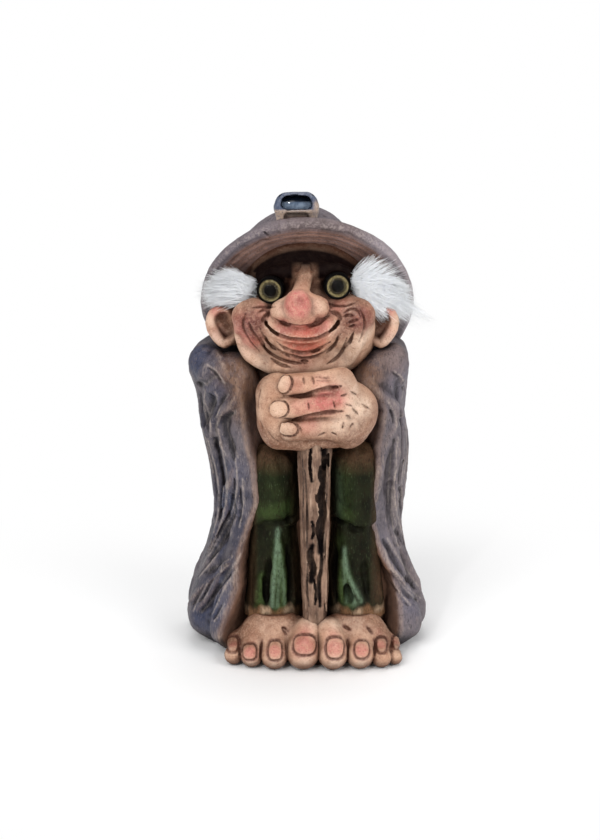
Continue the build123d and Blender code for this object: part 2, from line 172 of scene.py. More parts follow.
class Clay:
    """A block of clay: a grid of distances to the surface, below zero inside."""

    def __init__(self, low, high, cell):
        self.low = np.array(low, float)
        self.cell = cell
        size = np.ceil((np.array(high) - self.low) / cell).astype(int) + 1
        self.field = np.full(size, FAR, np.float32)

    def window(self, low, high, margin):
        first = np.floor((np.array(low) - margin - self.low) / self.cell).astype(int)
        last = np.ceil((np.array(high) + margin - self.low) / self.cell).astype(int) + 1
        first = np.clip(first, 0, self.field.shape)
        last = np.clip(last, first, self.field.shape)
        part = tuple(slice(a, b) for a, b in zip(first, last))
        axes = [
            (self.low[k] + self.cell * np.arange(first[k], last[k])).astype(np.float32)
            for k in range(3)
        ]
        return part, np.meshgrid(*axes, indexing="ij", sparse=True)

    def axes(self):
        """The grid's places along x, y and z."""
        high = self.low + self.cell * np.array(self.field.shape)
        return self.window(self.low, high, 0)[1]

    def fill(self, distance):
        """Puts new distances in place of the old."""
        self.field = np.clip(distance, -FAR, FAR).astype(np.float32)

    def blend(self, part, distance, soft, cut):
        old = self.field[part]
        if cut:
            new = soft_max(old, -distance, soft)
        else:
            new = soft_min(old, distance, soft)
        self.field[part] = np.clip(new, -FAR, FAR)

    def ball(self, middle, radii, turn=None, soft=1.0, cut=False):
        """A ball or an egg, which may be turned."""
        middle = np.array(middle, float)
        radii = np.array(radii, float) * np.ones(3)
        reach = radii.max()
        part, axes = self.window(middle - reach, middle + reach, soft + FAR / 2)
        offset = local(axes, middle, turned(turn)) if turn else [axes[k] - middle[k] for k in range(3)]
        near = np.sqrt(sum((offset[k] / radii[k]) ** 2 for k in range(3)))
        steep = np.sqrt(sum((offset[k] / radii[k] ** 2) ** 2 for k in range(3)))
        self.blend(part, near * (near - 1) / np.maximum(steep, 1e-6), soft, cut)

    def rope(self, points, radii, soft=0.5, cut=False):
        """A round bar along points, whose radius may change on the way."""
        points = np.array(points, float)
        radii = np.ones(len(points)) * radii
        reach = radii.max()
        margin = soft + ROPE_MARGIN
        part, _ = self.window(points.min(0) - reach, points.max(0) + reach, margin)
        corner = [side.start for side in part]
        distance = np.full(self.field[part].shape, FAR, np.float32)
        for start, end, start_radius, end_radius in zip(points, points[1:], radii, radii[1:]):
            bit, axes = self.window(np.minimum(start, end) - reach, np.maximum(start, end) + reach, margin)
            way = end - start
            offset = [axes[k] - start[k] for k in range(3)]
            share = unit(sum(offset[k] * way[k] for k in range(3)) / max(way @ way, 1e-9))
            off = np.sqrt(sum((offset[k] - share * way[k]) ** 2 for k in range(3)))
            inner = tuple(slice(side.start - first, side.stop - first) for side, first in zip(bit, corner))
            radius = start_radius + (end_radius - start_radius) * share
            distance[inner] = np.minimum(distance[inner], off - radius)
        self.blend(part, distance, soft, cut)

    def bone(self, start, end, start_radius, end_radius, soft=1.0, cut=False):
        self.rope((start, end), (start_radius, end_radius), soft, cut)

    def sample(self, points, field=None):
        """The grid's value between its cells."""
        field = self.field if field is None else field
        place = (np.asarray(points) - self.low) / self.cell
        place = np.clip(place, 0, np.array(field.shape) - 1.001)
        cell = place.astype(int)
        share = (place - cell).astype(np.float32)
        total = 0
        for corner in range(8):
            step = [(corner >> k) & 1 for k in range(3)]
            weight = 1
            for k in range(3):
                weight = weight * (share[:, k] if step[k] else 1 - share[:, k])
            total = total + weight * field[cell[:, 0] + step[0], cell[:, 1] + step[1], cell[:, 2] + step[2]]
        return total

    def trace(self, pixels):
        """Where the lines of sight through pixels meet the clay."""
        high = self.low + self.cell * (np.array(self.field.shape) - 1)
        depth = np.arange(self.low[1], high[1], self.cell / 2)
        found = []
        for u, v in pixels:
            ray = sight(u, v)
            line = LENS_POINT + np.outer((depth - LENS_POINT[1]) / ray[1], ray)
            inside = np.all((line >= self.low) & (line <= high), 1)
            line = line[inside]
            if len(line) == 0:
                continue
            values = self.sample(line)
            hits = np.nonzero(values < 0)[0]
            found.append(line[hits[0] if len(hits) else np.argmin(values)])
        return np.array(found)

    def groove(self, pixels, width, depth, soft=0.35, taper=True):
        """Cuts a groove along a line of pixels and gives the line on the surface."""
        return self.stroke(pixels, width, depth, soft, taper, True)

    def ridge(self, pixels, width, height, soft=0.8, taper=True):
        """Lays a ridge along a line of pixels and gives the line on the surface."""
        return self.stroke(pixels, width, height, soft, taper, False)

    def stroke(self, pixels, width, depth, soft, taper, cut):
        line = self.trace(curve(pixels))
        if len(line) < 2:
            return line
        share = np.linspace(0, 1, len(line))
        ease = np.ones(len(line))
        if taper:
            ease = np.minimum(1, TAPER_RATE * np.minimum(share, 1 - share) + TAPER_END)
        radii = ease * width / 2
        lift = radii - depth * ease
        away = np.array([LENS_POINT - point for point in line])
        away /= np.linalg.norm(away, axis=1)[:, None]
        self.rope(line + away * (lift if cut else -lift)[:, None], radii, soft, cut)
        return line + away * (depth * ease * (-INK_LEVEL if cut else 1.0))[:, None]

    def roughen(self, amount, size, seed):
        """Uneven modelling: smooth random swells of about this size."""
        random = np.random.default_rng(seed)
        size = np.array(size, float) * np.ones(3)
        count = np.ceil(np.array(self.field.shape) * self.cell / size).astype(int) + 2
        value = random.uniform(-1, 1, count)
        for axis in range(3):
            place = np.arange(self.field.shape[axis]) * self.cell / size[axis]
            cell = place.astype(int)
            share = place - cell
            share = share * share * (3 - 2 * share)
            shape = [1, 1, 1]
            shape[axis] = -1
            share = share.reshape(shape)
            value = np.take(value, cell, axis) * (1 - share) + np.take(value, cell + 1, axis) * share
        self.field += (amount * value).astype(np.float32)

    def melt(self, passes):
        self.field = blur(self.field, passes)

    def keep(self, distance, soft=0.3):
        """Keeps only what lies inside another form."""
        self.fill(soft_max(self.field, distance, soft))

    def stand(self):
        """Cuts the clay flat at the floor."""
        self.keep(-self.axes()[2])

    def mesh(self):
        """Points and four-sided faces of the surface, and how hollow or proud it is there."""
        field = self.field.copy()
        for axis in range(3):
            edge = np.swapaxes(field, 0, axis)
            edge[0] = edge[-1] = FAR
        grid = openvdb.FloatGrid(FAR)
        grid.gridClass = openvdb.GridClass.LEVEL_SET
        grid.copyFromArray(np.clip(field / self.cell, -MESH_BAND, MESH_BAND).astype(np.float32))
        points, faces = grid.convertToQuads(0.0)
        points = self.low + np.asarray(points, float) * self.cell
        bend = self.sample(points, blur(self.field, BEND_PASSES))
        return points, np.asarray(faces)[:, ::-1], bend


# Painted pieces

LINE_REACH = 6  # points further than this from a line's box are left out
NO_LINE = 99.0  # their distance
BATCH = 4000  # points measured at a time
INK_CORE, INK_FADE = 1.6, 1.2  # a stroke's ink at its middle, and its fall by each half width
BLOB_CORE = 1.5  # a spot's strength at its middle, before it is held to 1
HOLLOW, PROUD = 0.22, 0.22  # the bends by which hollow and proud places are judged


def near_line(points, line):
    """How far each point is from a line of points."""
    distance = np.full(len(points), NO_LINE)
    if len(line) == 0:
        return distance
    inside = np.all((points > line.min(0) - LINE_REACH) & (points < line.max(0) + LINE_REACH), 1)
    chosen = np.nonzero(inside)[0]
    for first in range(0, len(chosen), BATCH):
        rows = chosen[first:first + BATCH]
        gap = points[rows][:, None, :] - line[None, :, :]
        distance[rows] = np.sqrt((gap**2).sum(2).min(1))
    return distance


def ink_mask(points, strokes):
    """One along strokes, each a line on the surface and its half width."""
    mask = np.zeros(len(points))
    for line, half_width in strokes:
        mask = most(mask, unit(INK_CORE - INK_FADE * near_line(points, line) / half_width))
    return mask


def blob_mask(points, blobs):
    """Soft spots, each a place, a radius and a strength."""
    mask = np.zeros(len(points))
    for place, radius, strength in blobs:
        gap = ((points - np.array(place)) ** 2).sum(1) / radius**2
        mask = most(mask, strength * unit(BLOB_CORE * np.exp(-gap)))
    return mask


def tint_mask(clay, points, spots):
    """Soft spots of paint, each a pixel, a radius and a strength."""
    places = clay.trace([(u, v) for u, v, _, _ in spots])
    return blob_mask(points, [(place, *row[2:]) for place, row in zip(places, spots)])


def tint_masks(clay, points, tints):
    """A mask of soft spots for each tint."""
    return {key: tint_mask(clay, points, spots) for key, spots in tints.items()}


def streak_mask(clay, points, streaks):
    """Soft streaks of paint, each a line of pixels, a half width and a strength."""
    mask = np.zeros(len(points))
    for pixels, half_width, strength in streaks:
        near = near_line(points, clay.trace(curve(pixels))) / half_width
        mask = most(mask, strength * np.exp(-near**2))
    return mask


def make_piece(node, slot, material, points, faces, **masks):
    """The visible piece of a node, with paint masks at its points."""
    name = f"{node}_piece"
    mesh = bpy.data.meshes.new(name)
    faces = faces.tolist() if isinstance(faces, np.ndarray) else faces
    mesh.from_pydata((np.asarray(points) * MM).tolist(), [], faces)
    mesh.polygons.foreach_set("use_smooth", np.ones(len(mesh.polygons), bool))
    for key, values in masks.items():
        layer = mesh.attributes.new(key, "FLOAT", "POINT")
        layer.data.foreach_set("value", np.asarray(values, np.float32))
    mesh.materials.append(material)
    mesh.update()
    piece = bpy.data.objects.new(name, mesh)
    bpy.context.collection.objects.link(piece)
    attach(piece, "root")
    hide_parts(node)


def clay_piece(node, slot, material, clay, paint, hollow=HOLLOW, proud=PROUD):
    """Meshes the clay of a node. Paint gives the masks of its tints."""
    points, faces, bend = clay.mesh()
    make_piece(
        node, slot, material, points, faces,
        hollow=unit(-bend / hollow), proud=unit(bend / proud - 0.5), **paint(points),
    )


# Materials

BROAD, PATCH, SPECK, FLECK = 160.0, 420.0, 1500.0, 2600.0  # the paint's mottling, as noise per metre
AIR_REACH = 0.007  # metres around a point within which other surfaces shade it
BELOW, ABOVE, MIXED = 6, 7, 2  # the colour sockets of a mix node


def colour(red, green, blue):
    """A screen colour, from 0 to 255, as linear light."""
    def linear(value):
        value /= 255
        return value / 12.92 if value <= 0.04045 else ((value + 0.055) / 1.055) ** 2.4
    return (linear(red), linear(green), linear(blue), 1.0)


class Paint:
    """A material whose colour is built up in layers."""

    def __init__(self, name):
        self.material = bpy.data.materials.new(name)
        self.material.use_nodes = True
        self.tree = self.material.node_tree
        self.shader = self.tree.nodes["Principled BSDF"]
        self.place = self.add("ShaderNodeTexCoord").outputs["Object"]

    def add(self, kind, **settings):
        node = self.tree.nodes.new(kind)
        for key, value in settings.items():
            setattr(node, key, value)
        return node

    def link(self, start, end):
        self.tree.links.new(start, end)

    def noise(self, scale, detail=4.0, stretch=None, rough=0.55):
        node = self.add("ShaderNodeTexNoise")
        node.inputs["Scale"].default_value = scale
        node.inputs["Detail"].default_value = detail
        node.inputs["Roughness"].default_value = rough
        place = self.place
        if stretch:
            mapping = self.add("ShaderNodeMapping")
            mapping.inputs["Scale"].default_value = stretch
            self.link(place, mapping.inputs["Vector"])
            place = mapping.outputs["Vector"]
        self.link(place, node.inputs["Vector"])
        return node.outputs["Fac"]

    def span(self, value, low, high, new_low=0.0, new_high=1.0):
        node = self.add("ShaderNodeMapRange", interpolation_type="SMOOTHSTEP")
        node.inputs["From Min"].default_value = low
        node.inputs["From Max"].default_value = high
        node.inputs["To Min"].default_value = new_low
        node.inputs["To Max"].default_value = new_high
        self.link(value, node.inputs["Value"])
        return node.outputs["Result"]

    def mask(self, name):
        return self.add("ShaderNodeAttribute", attribute_name=name).outputs["Fac"]

    def air(self, reach):
        """How open the surface is to the air around it, up to this reach."""
        node = self.add("ShaderNodeAmbientOcclusion", samples=8)
        node.inputs["Distance"].default_value = reach
        return node.outputs["AO"]

    def times(self, a, b):
        node = self.add("ShaderNodeMath", operation="MULTIPLY")
        self.link(a, node.inputs[0])
        if isinstance(b, float):
            node.inputs[1].default_value = b
        else:
            self.link(b, node.inputs[1])
        return node.outputs[0]

    def mix(self, share, below, above):
        """Lays a colour over another. Colours given as numbers are screen colours."""
        node = self.add("ShaderNodeMix", data_type="RGBA")
        self.link(share, node.inputs["Factor"])
        for socket, value in ((node.inputs[BELOW], below), (node.inputs[ABOVE], above)):
            if isinstance(value, tuple):
                socket.default_value = colour(*value)
            else:
                self.link(value, socket)
        return node.outputs[MIXED]

    def bump(self, height, strength, distance):
        node = self.add("ShaderNodeBump")
        node.inputs["Strength"].default_value = strength
        node.inputs["Distance"].default_value = distance
        self.link(height, node.inputs["Height"])
        self.link(node.outputs["Normal"], self.shader.inputs["Normal"])

    def set(self, **values):
        for key, value in values.items():
            self.shader.inputs[key.replace("_", " ")].default_value = value

    def feed(self, **values):
        """Links values to the shader's inputs."""
        for key, value in values.items():
            self.link(value, self.shader.inputs[key.replace("_", " ")])

    def show(self, other, share):
        """Shows another shader over this one by a share."""
        both = self.add("ShaderNodeMixShader")
        self.link(share, both.inputs[0])
        self.link(self.shader.outputs[0], both.inputs[1])
        self.link(other.outputs[0], both.inputs[2])
        self.link(both.outputs[0], self.tree.nodes["Material Output"].inputs["Surface"])


def casting(name, low, high, wash_and_shade, edge, stain, layers, last=None, rough=(0.42, 0.62),
            wash_and_shade_gain=1.0, edge_gain=0.6, grain=None, shine=0.28):
    """Hand-painted casting: mottled colour, tints, grime, rubbed edges, dark washes in hollows and along
    carved lines, and painted shade where other surfaces come near.

    The layers lie under the grime, the washes and the painted shade, the last tints over them, each named by
    its mask.
    """
    paint = Paint(name)
    broad = paint.noise(BROAD, 5.0)
    patch = paint.noise(PATCH, 6.0, rough=0.7)
    speck = paint.noise(SPECK, 3.0, stretch=grain)
    fleck = paint.noise(FLECK, 3.0, stretch=grain)
    air = paint.air(AIR_REACH)
    tone = paint.mix(paint.span(broad, 0.3, 0.7), low, high)
    for key, tint in layers.items():
        share = paint.times(paint.mask(key), paint.span(patch, 0.3, 0.6, 0.6, 1.0))
        share = paint.times(share, paint.span(speck, 0.3, 0.55, 0.6, 1.0))
        tone = paint.mix(share, tone, tint)
    # grime in patches and flecks, and light flecks
    tone = paint.mix(paint.span(patch, 0.48, 0.72, 0.0, 0.6), tone, stain)
    tone = paint.mix(paint.span(fleck, 0.54, 0.72, 0.0, 0.65), tone, stain)
    tone = paint.mix(paint.span(fleck, 0.42, 0.28, 0.0, 0.25), tone, edge)
    # rubbed edges, then painted shade where air is scarce, between parts and near the floor, and dark washes
    # in hollows and along carved lines
    rubbed = paint.times(paint.mask("proud"), paint.span(speck, 0.42, 0.64, 0.0, edge_gain))
    tone = paint.mix(rubbed, tone, edge)
    tone = paint.mix(paint.span(air, 0.3, 0.95, 0.85 * wash_and_shade_gain, 0.0), tone, wash_and_shade)
    flow = paint.span(speck, 0.2, 0.75, 0.45 * wash_and_shade_gain, 0.9 * wash_and_shade_gain)
    tone = paint.mix(paint.times(paint.mask("hollow"), flow), tone, wash_and_shade)
    tone = paint.mix(paint.times(paint.mask("ink"), paint.span(speck, 0.38, 0.6, 0.3, 0.95)), tone, wash_and_shade)
    for key, tint in (last or {}).items():
        share = paint.times(paint.mask(key), paint.span(patch, 0.2, 0.7, 0.985, 1.0))
        tone = paint.mix(share, tone, tint)
    gloss = paint.times(air, paint.span(paint.mask("dark"), 0.0, 1.0, shine, 0.02))
    paint.feed(Base_Color=tone, Roughness=paint.span(speck, 0.3, 0.7, *rough), Specular_IOR_Level=gloss)
    paint.bump(paint.times(speck, paint.span(patch, 0.2, 0.8)), 0.6, 0.0004)
    return paint.material


# the dark tint laid last is painted shade on the forehead, round the eyes, on the feet along the floor,
# under the helmet's brim, in the lamp's recess and on the cloak's back wall; on the staff it is the black of
# the cracks
skin = casting(
    "skin_paint", low=(176, 132, 106), high=(208, 170, 144), wash_and_shade=(60, 30, 20), edge=(232, 206, 182),
    stain=(132, 86, 64),
    layers={
        "pale": (226, 200, 178), "pink": (188, 104, 98), "red": (182, 78, 63), "brown": (100, 66, 48),
        "purple": (82, 35, 34),
    },
    last={"dark": (14, 7, 7)}, wash_and_shade_gain=0.85,
)
cloak_paint = casting(
    "cloak_paint", low=(58, 56, 68), high=(104, 96, 100), wash_and_shade=(18, 14, 16), edge=(186, 168, 154),
    stain=(36, 31, 36),
    layers={
        "blue": (54, 62, 88), "brown": (112, 82, 64), "tan": (156, 124, 102), "pale": (132, 120, 122),
        "light": (188, 174, 164),
    },
    last={"dark": (34, 22, 16), "lining": (142, 106, 85)}, edge_gain=0.55, grain=(1.0, 1.0, 0.25),
    wash_and_shade_gain=0.9,
)
trouser_paint = casting(
    "trouser_paint", low=(15, 16, 9), high=(31, 33, 19), wash_and_shade=(9, 7, 5), edge=(92, 104, 74),
    stain=(30, 22, 14),
    layers={
        "green": (64, 82, 42), "teal": (122, 146, 120), "brown": (84, 60, 43), "tan": (128, 92, 66),
        "pale": (204, 178, 150),
    },
    grain=(1.0, 1.0, 0.3), shine=0.06,
)
staff_paint = casting(
    "staff_paint", low=(96, 72, 58), high=(150, 120, 100), wash_and_shade=(14, 9, 9), edge=(206, 178, 154),
    stain=(78, 52, 40), layers={"brown": (82, 54, 40)}, last={"dark": (12, 8, 9)}, grain=(1.0, 1.0, 0.12),
)
helmet_paint = casting(
    "helmet_paint", low=(84, 72, 72), high=(116, 102, 104), wash_and_shade=(34, 24, 21), edge=(160, 146, 142),
    stain=(66, 54, 52),
    layers={"brown": (152, 114, 98), "blue": (104, 102, 114), "pale": (166, 156, 162)},
    last={"dark": (16, 8, 7)}, wash_and_shade_gain=0.35,
)
lamp_paint = casting(
    "lamp_paint", low=(66, 76, 98), high=(92, 98, 114), wash_and_shade=(22, 20, 22), edge=(150, 152, 160),
    stain=(48, 50, 62), layers={"cream": (186, 160, 138), "brown": (96, 70, 60)},
    last={"dark": (12, 18, 28)}, rough=(0.25, 0.45), wash_and_shade_gain=0.6,
)


# Head

HEAD = np.array((-0.5, -8.0, 106.0))
HEAD_LOW, HEAD_HIGH, HEAD_CELL = (-26, -41, 78), (25, 20, 134), 0.3
SKULL, SKULL_RADIUS = (-0.5, -1.6, 111), 20.0
JAW, JAW_RADIUS = ((-9.1, -10, 100), (8.1, -10, 100)), 12.4
NECK, NECK_RADIUS = ((-0.5, -1.6, 100), (-0.5, -1.6, 79.5)), 7.0
CHEEKS, CHEEK_RADII = ((-13.3, -18.2, 103.8), (12.3, -18.2, 103.8)), (7.6, 7.4, 7.4)
MUZZLE, MUZZLE_RADIUS = ((-6.1, -21.4, 104.6), (5.1, -21.4, 104.6)), 6.4
CHIN, CHIN_RADIUS = ((-4.7, -20.2, 93.6), (3.7, -20.2, 93.6)), 5.0
# from the outer to the inner end, low over the eyes
BROWS = (
    ((-13.6, -15.6, 117.8), (-9.5, -18.8, 120.0), (-4.5, -19.2, 119.4)),
    ((12.4, -15.6, 118.8), (8.8, -18.8, 121.2), (4.2, -19.2, 120.2)),
)
BROW_RADII = (0.9, 2.0)
# the middle of each eye's rim and its turn to the right in degrees
EYES = {
    "left": (np.array((-11.1, -21.6, 115.1)), -9.0),
    "right": (np.array((8.7, -21.6, 116.4)), 9.0),
}
EYE_RADIUS, EYE_DOME, EYE_RIM = 3.5, 2.5, 0.55
EYE_SEAT_RADIUS = EYE_RADIUS + EYE_RIM - 0.1
SOCKET_SHIFT, SOCKET_RADII = (0, -2.6, 0), (5.2, 4.6, 4.9)
HELMET = np.array((-0.2, 1.5, 108.0))
HELMET_TURN = turned((-60.0, 0, 0))
SKULL_END = 1.0  # how far under the middle of the helmet's brim the skull ends

# Forms of the face, as pixel and depth: the nose is a bulb between broad wings, under a narrow bridge

GRIN_CHEEKS, GRIN_CHEEK_RADII = ((254, 317, -22.5), (353, 315, -22.5)), (6.6, 4.6, 5.4)
BRIDGE, BRIDGE_RADII = ((306, 270, -20.0), (304, 281, -22.6), (300, 294, -25.6)), (2.3, 2.3, 2.6)
NOSE_BASE, NOSE_BASE_RADII = (300, 317.5, -27.6), (4.6, 3.8, 2.7)
NOSE_WINGS = (
    ((281.2, 310.5, -26.0), (3.3, 3.8, 3.0), (0, -20, 0)),
    ((317.5, 307.5, -26.0), (3.5, 3.8, 3.1), (0, 20, 0)),
)
WING_RIDGES = (
    ((290, 301.5, -26.4), (279, 308.5, -25.0)),
    ((308, 299, -26.4), (321.5, 304.5, -25.0)),
)
WING_RIDGE_RADII = (2.1, 2.0)
NOSE_BULB, NOSE_BULB_RADII = (297.7, 306, -29.6), (4.1, 4.3, 4.9)

# Strokes of the face, in pixels

EYE_BAGS = (
    ((249, 300), (255, 306), (266, 309), (276, 306)), ((325, 302), (334, 305), (346, 304), (357, 297)),
)
UPPER_LIP = ((269, 322), (279, 329.5), (291, 333), (303, 334), (315, 332.5), (326, 327), (335, 319))
LOWER_LIP = ((279, 342), (289, 347), (302, 349), (315, 347), (327, 341))
JAW_ROLL = (
    (237, 322), (239, 335), (246, 348), (258, 358), (274, 365.5), (292, 370), (312, 370.5), (331, 366),
    (346, 357), (357, 345), (363, 331),
)
SMILE = (
    (264, 320.5), (269, 327), (277, 334), (288, 338), (298, 339.5), (308, 339.5), (318, 338),
    (327, 333.5), (334, 327), (339.5, 320),
)
LEFT_CORNER = ((265.5, 321), (270, 327), (278, 334.5))
RIGHT_CORNER = ((329.5, 331), (334, 326), (338.5, 320.5))
LIP_FOLD = ((274, 318), (283, 322.5), (292, 325), (301, 326), (311, 325), (321, 321), (329, 315))
CORNER_FOLDS = (((270, 313), (265, 317), (262, 322)), ((330, 311), (337, 314), (341, 319)))
LIP_CREASE = ((277, 342), (287, 350), (302, 353.5), (317, 350.5), (330, 342))
CHIN_RINGS = (
    ((260, 328), (265, 338.5), (275, 347.5), (287, 354), (300, 357.5), (312, 357), (323, 352.5),
     (333, 345), (341, 334)),
    ((256, 333), (261, 343), (270, 352.5), (282, 359.5), (295, 363), (307, 363.5)),
    ((264, 335), (270, 344), (277, 351)), ((260, 337), (266, 348), (272, 355)),
    ((347, 337), (343, 349), (336, 358), (327, 364)), ((338.5, 335), (334, 345), (326, 353)),
    ((271, 358), (280, 364), (291, 368)), ((354, 331), (350, 340), (345, 348)), ((281, 352), (290, 357)),
    ((300, 361), (308, 361)), ((311, 352), (320, 349)),
)
CHEEK_RINGS = (
    ((246, 313), (243, 322), (245, 332), (251, 342), (259, 351)), ((249, 322), (252, 330), (257, 338)),
    ((258, 313), (264, 310), (269, 312), (268, 317)), ((253, 308), (260, 307), (268, 307.5), (275, 307)),
    ((360, 309), (364, 319), (364, 330), (359, 342)), ((344, 313), (351, 309), (358, 311), (361, 318)),
    ((347, 323), (353, 321), (359, 319)), ((349, 327), (355, 324.5)), ((353, 337), (349, 344)),
    ((326, 303), (336, 306), (348, 305.5), (358, 301)), ((343, 317), (349, 315), (354, 316)),
)
FROWN_LINES = (
    ((290, 276), (288, 284), (284, 291)), ((322, 273), (323, 281), (326, 288)), ((296, 271), (300, 266)),
    ((313, 270), (312, 264)),
)
# lines, and their width, depth and half width of ink
FACE_CUTS = (
    ((SMILE,), 1.6, 1.2, 0.4),
    ((LEFT_CORNER,), 2.4, 2.2, 0.75),
    ((RIGHT_CORNER,), 2.2, 2.0, 0.65),
    ((LIP_FOLD,), 1.4, 0.7, 0.3),
    (CORNER_FOLDS, 1.3, 0.7, 0.35),
    ((LIP_CREASE,), 1.5, 0.8, 0.35),
    (CHIN_RINGS, 0.9, 0.7, 0.24),
    (CHEEK_RINGS, 0.8, 0.6, 0.22),
)
# spots of paint: a pixel, a radius and a strength
HEAD_TINTS = {
    "pale": (
        (246, 350, 3.0, 0.6), (262, 362, 3.0, 0.6), (355, 348, 3.0, 0.7), (340, 358, 3.0, 0.5),
        (282, 308, 2.4, 0.5), (316, 306, 2.6, 0.5), (366, 335, 2.6, 0.7), (238, 340, 2.4, 0.5),
        (362, 342, 3.0, 0.8), (348, 356, 3.0, 0.7),
    ),
    "pink": (
        (298, 304, 5.0, 1.0), (299, 312, 3.6, 0.5), (241, 324, 3.4, 0.9), (240, 333, 3.4, 0.8),
        (247, 341, 3.4, 0.7), (365, 318, 3.0, 0.8), (338, 304, 3.0, 0.6), (330, 308, 2.8, 0.5),
        (262, 312, 3.0, 0.5), (322, 326, 3.0, 0.8), (285, 327, 3.0, 0.8), (300, 358, 4.0, 0.3),
        (303, 328, 3.0, 0.7),
    ),
    "red": (
        (310, 331, 2.6, 0.9), (300, 332, 2.2, 0.6), (303, 345, 3.0, 0.95), (295, 344, 2.6, 0.85),
        (313, 345, 2.4, 0.8), (321, 342, 2.0, 0.5), (288, 342, 2.0, 0.5), (255, 340, 2.2, 0.6),
    ),
    "purple": (
        (252, 325, 3.8, 1.0), (257, 334, 3.0, 0.85), (250, 317, 2.6, 0.7), (354, 318, 4.2, 1.0),
        (347, 327, 3.0, 0.8), (360, 327, 2.6, 0.6), (341, 333, 2.4, 0.6), (263, 342, 2.4, 0.5),
        (299, 301, 1.5, 0.45), (330, 317, 2.0, 0.4), (300, 357, 1.6, 0.5), (318, 329, 2.4, 0.4),
        (286, 329, 2.2, 0.4),
    ),
    # the dark spots are painted shade under the helmet's brim and around the eyes
    "dark": (
        (273, 275, 5.6, 1.0), (283, 287, 2.6, 0.95), (262, 299, 2.4, 0.9), (271, 304, 2.0, 0.85),
        (257, 287, 3.0, 0.95), (262, 271, 5.0, 1.0), (332, 275, 4.2, 0.95), (325, 286, 2.8, 0.9),
        (341, 268, 5.2, 1.0), (352, 281, 3.0, 0.9), (333, 300, 2.0, 0.6), (250, 278, 4.4, 0.9),
        (361, 274, 4.4, 0.9),
    ),
    "brown": (
        (315, 281, 2.6, 0.75), (290, 284, 2.4, 0.85), (304, 270, 4.4, 0.8), (249, 305, 3.2, 0.75),
        (361, 301, 3.2, 0.75), (345, 300, 2.2, 0.5), (275, 350, 3.0, 0.5), (290, 358, 3.0, 0.4),
        (335, 350, 3.0, 0.3), (320, 358, 3.0, 0.3), (262, 352, 2.4, 0.35), (372, 318, 3.6, 0.7),
        (237, 318, 2.6, 0.6), (300, 368, 3.0, 0.4),
    ),
}
BRIDGE_MIDDLE, BRIDGE_TOP = -0.8, 123
FOREHEAD_FOOT, NECK_TOP = 116.6, 90.5


def head_clay():
    clay = Clay(HEAD_LOW, HEAD_HIGH, HEAD_CELL)
    clay.ball(SKULL, SKULL_RADIUS)
    clay.rope(JAW, JAW_RADIUS, soft=4)
    clay.rope(NECK, NECK_RADIUS, soft=3)
    for place in CHEEKS:
        clay.ball(place, CHEEK_RADII, soft=3)
    clay.rope(MUZZLE, MUZZLE_RADIUS, soft=3)
    clay.rope(CHIN, CHIN_RADIUS, soft=3)
    for ends in BROWS:
        brow = curve(ends)
        clay.rope(brow, np.linspace(*BROW_RADII, len(brow)), soft=3.4)
    for place, _ in EYES.values():
        clay.ball(place + SOCKET_SHIFT, SOCKET_RADII, soft=1.6, cut=True)
    for pixels in EYE_BAGS:
        clay.ridge(pixels, width=4.0, height=1.0, soft=1.2)
    for place in GRIN_CHEEKS:
        clay.ball(spot(*place), GRIN_CHEEK_RADII, soft=2.4)
    clay.ridge(UPPER_LIP, width=5.6, height=1.4, soft=1.4)
    clay.ridge(LOWER_LIP, width=6.0, height=1.8, soft=1.2)
    add_nose(clay)
    clay.ridge(JAW_ROLL, width=5.6, height=1.3, soft=1.6)
    clay.melt(1)
    # the skull ends inside the helmet
    clay.keep(local(clay.axes(), HELMET, HELMET_TURN)[2] + SKULL_END)
    return clay


def add_nose(clay):
    clay.rope([spot(*place) for place in BRIDGE], BRIDGE_RADII, soft=1.8)
    clay.ball(spot(*NOSE_BASE), NOSE_BASE_RADII, soft=1.0)
    for place, radii, turn in NOSE_WINGS:
        clay.ball(spot(*place), radii, turn, soft=0.8)
    for start, end in WING_RIDGES:
        clay.bone(spot(*start), spot(*end), *WING_RIDGE_RADII, soft=0.8)
    clay.ball(spot(*NOSE_BULB), NOSE_BULB_RADII, soft=1.0)


def carve_head(clay):
    """Cuts the wrinkles and gives the lines that ink runs into, with their half widths."""
    strokes = []
    for lines, width, depth, ink in FACE_CUTS:
        for pixels in lines:
            strokes.append((clay.groove(pixels, width, depth, soft=0.3), ink))
    for pixels in FROWN_LINES:
        clay.groove(pixels, width=1.2, depth=0.6, soft=0.6)
    return strokes


def make_head():
    clay = head_clay()
    strokes = carve_head(clay)
    clay.roughen(amount=0.06, size=1.4, seed=11)
    for place, _ in EYES.values():
        clay.ball(place, EYE_SEAT_RADIUS, soft=0.2, cut=True)

    def paint(points):
        x, y, height = points.T
        masks = tint_masks(clay, points, HEAD_TINTS)
        bridge = unit(1.4 - np.abs(x - BRIDGE_MIDDLE) / 3.0) * unit((BRIDGE_TOP - height) / 3)
        # painted shade under the helmet makes the forehead black, and browner in a band that runs along the
        # helmet's underside
        below = ((points - HELMET) @ HELMET_TURN)[:, 2]
        crown = unit((below + 5.5) / 2.5)
        forehead = unit((height - FOREHEAD_FOOT) / 2.2) * (y < -2) * (1 - 0.9 * bridge) * (1 - 0.45 * crown)
        # painted shade: browner below the jaw
        neck_shade = unit((NECK_TOP - height) / 4)
        back = np.where(y > -6, 0.75, 0.0)
        masks["dark"] = most(masks["dark"], forehead)
        masks["brown"] = most(masks["brown"], neck_shade, back, crown)
        masks["ink"] = ink_mask(points, strokes)
        return masks

    clay_piece("head", "skin_paint", skin, clay, paint)


# Ears: places are out, back and up from the lobe or from the top

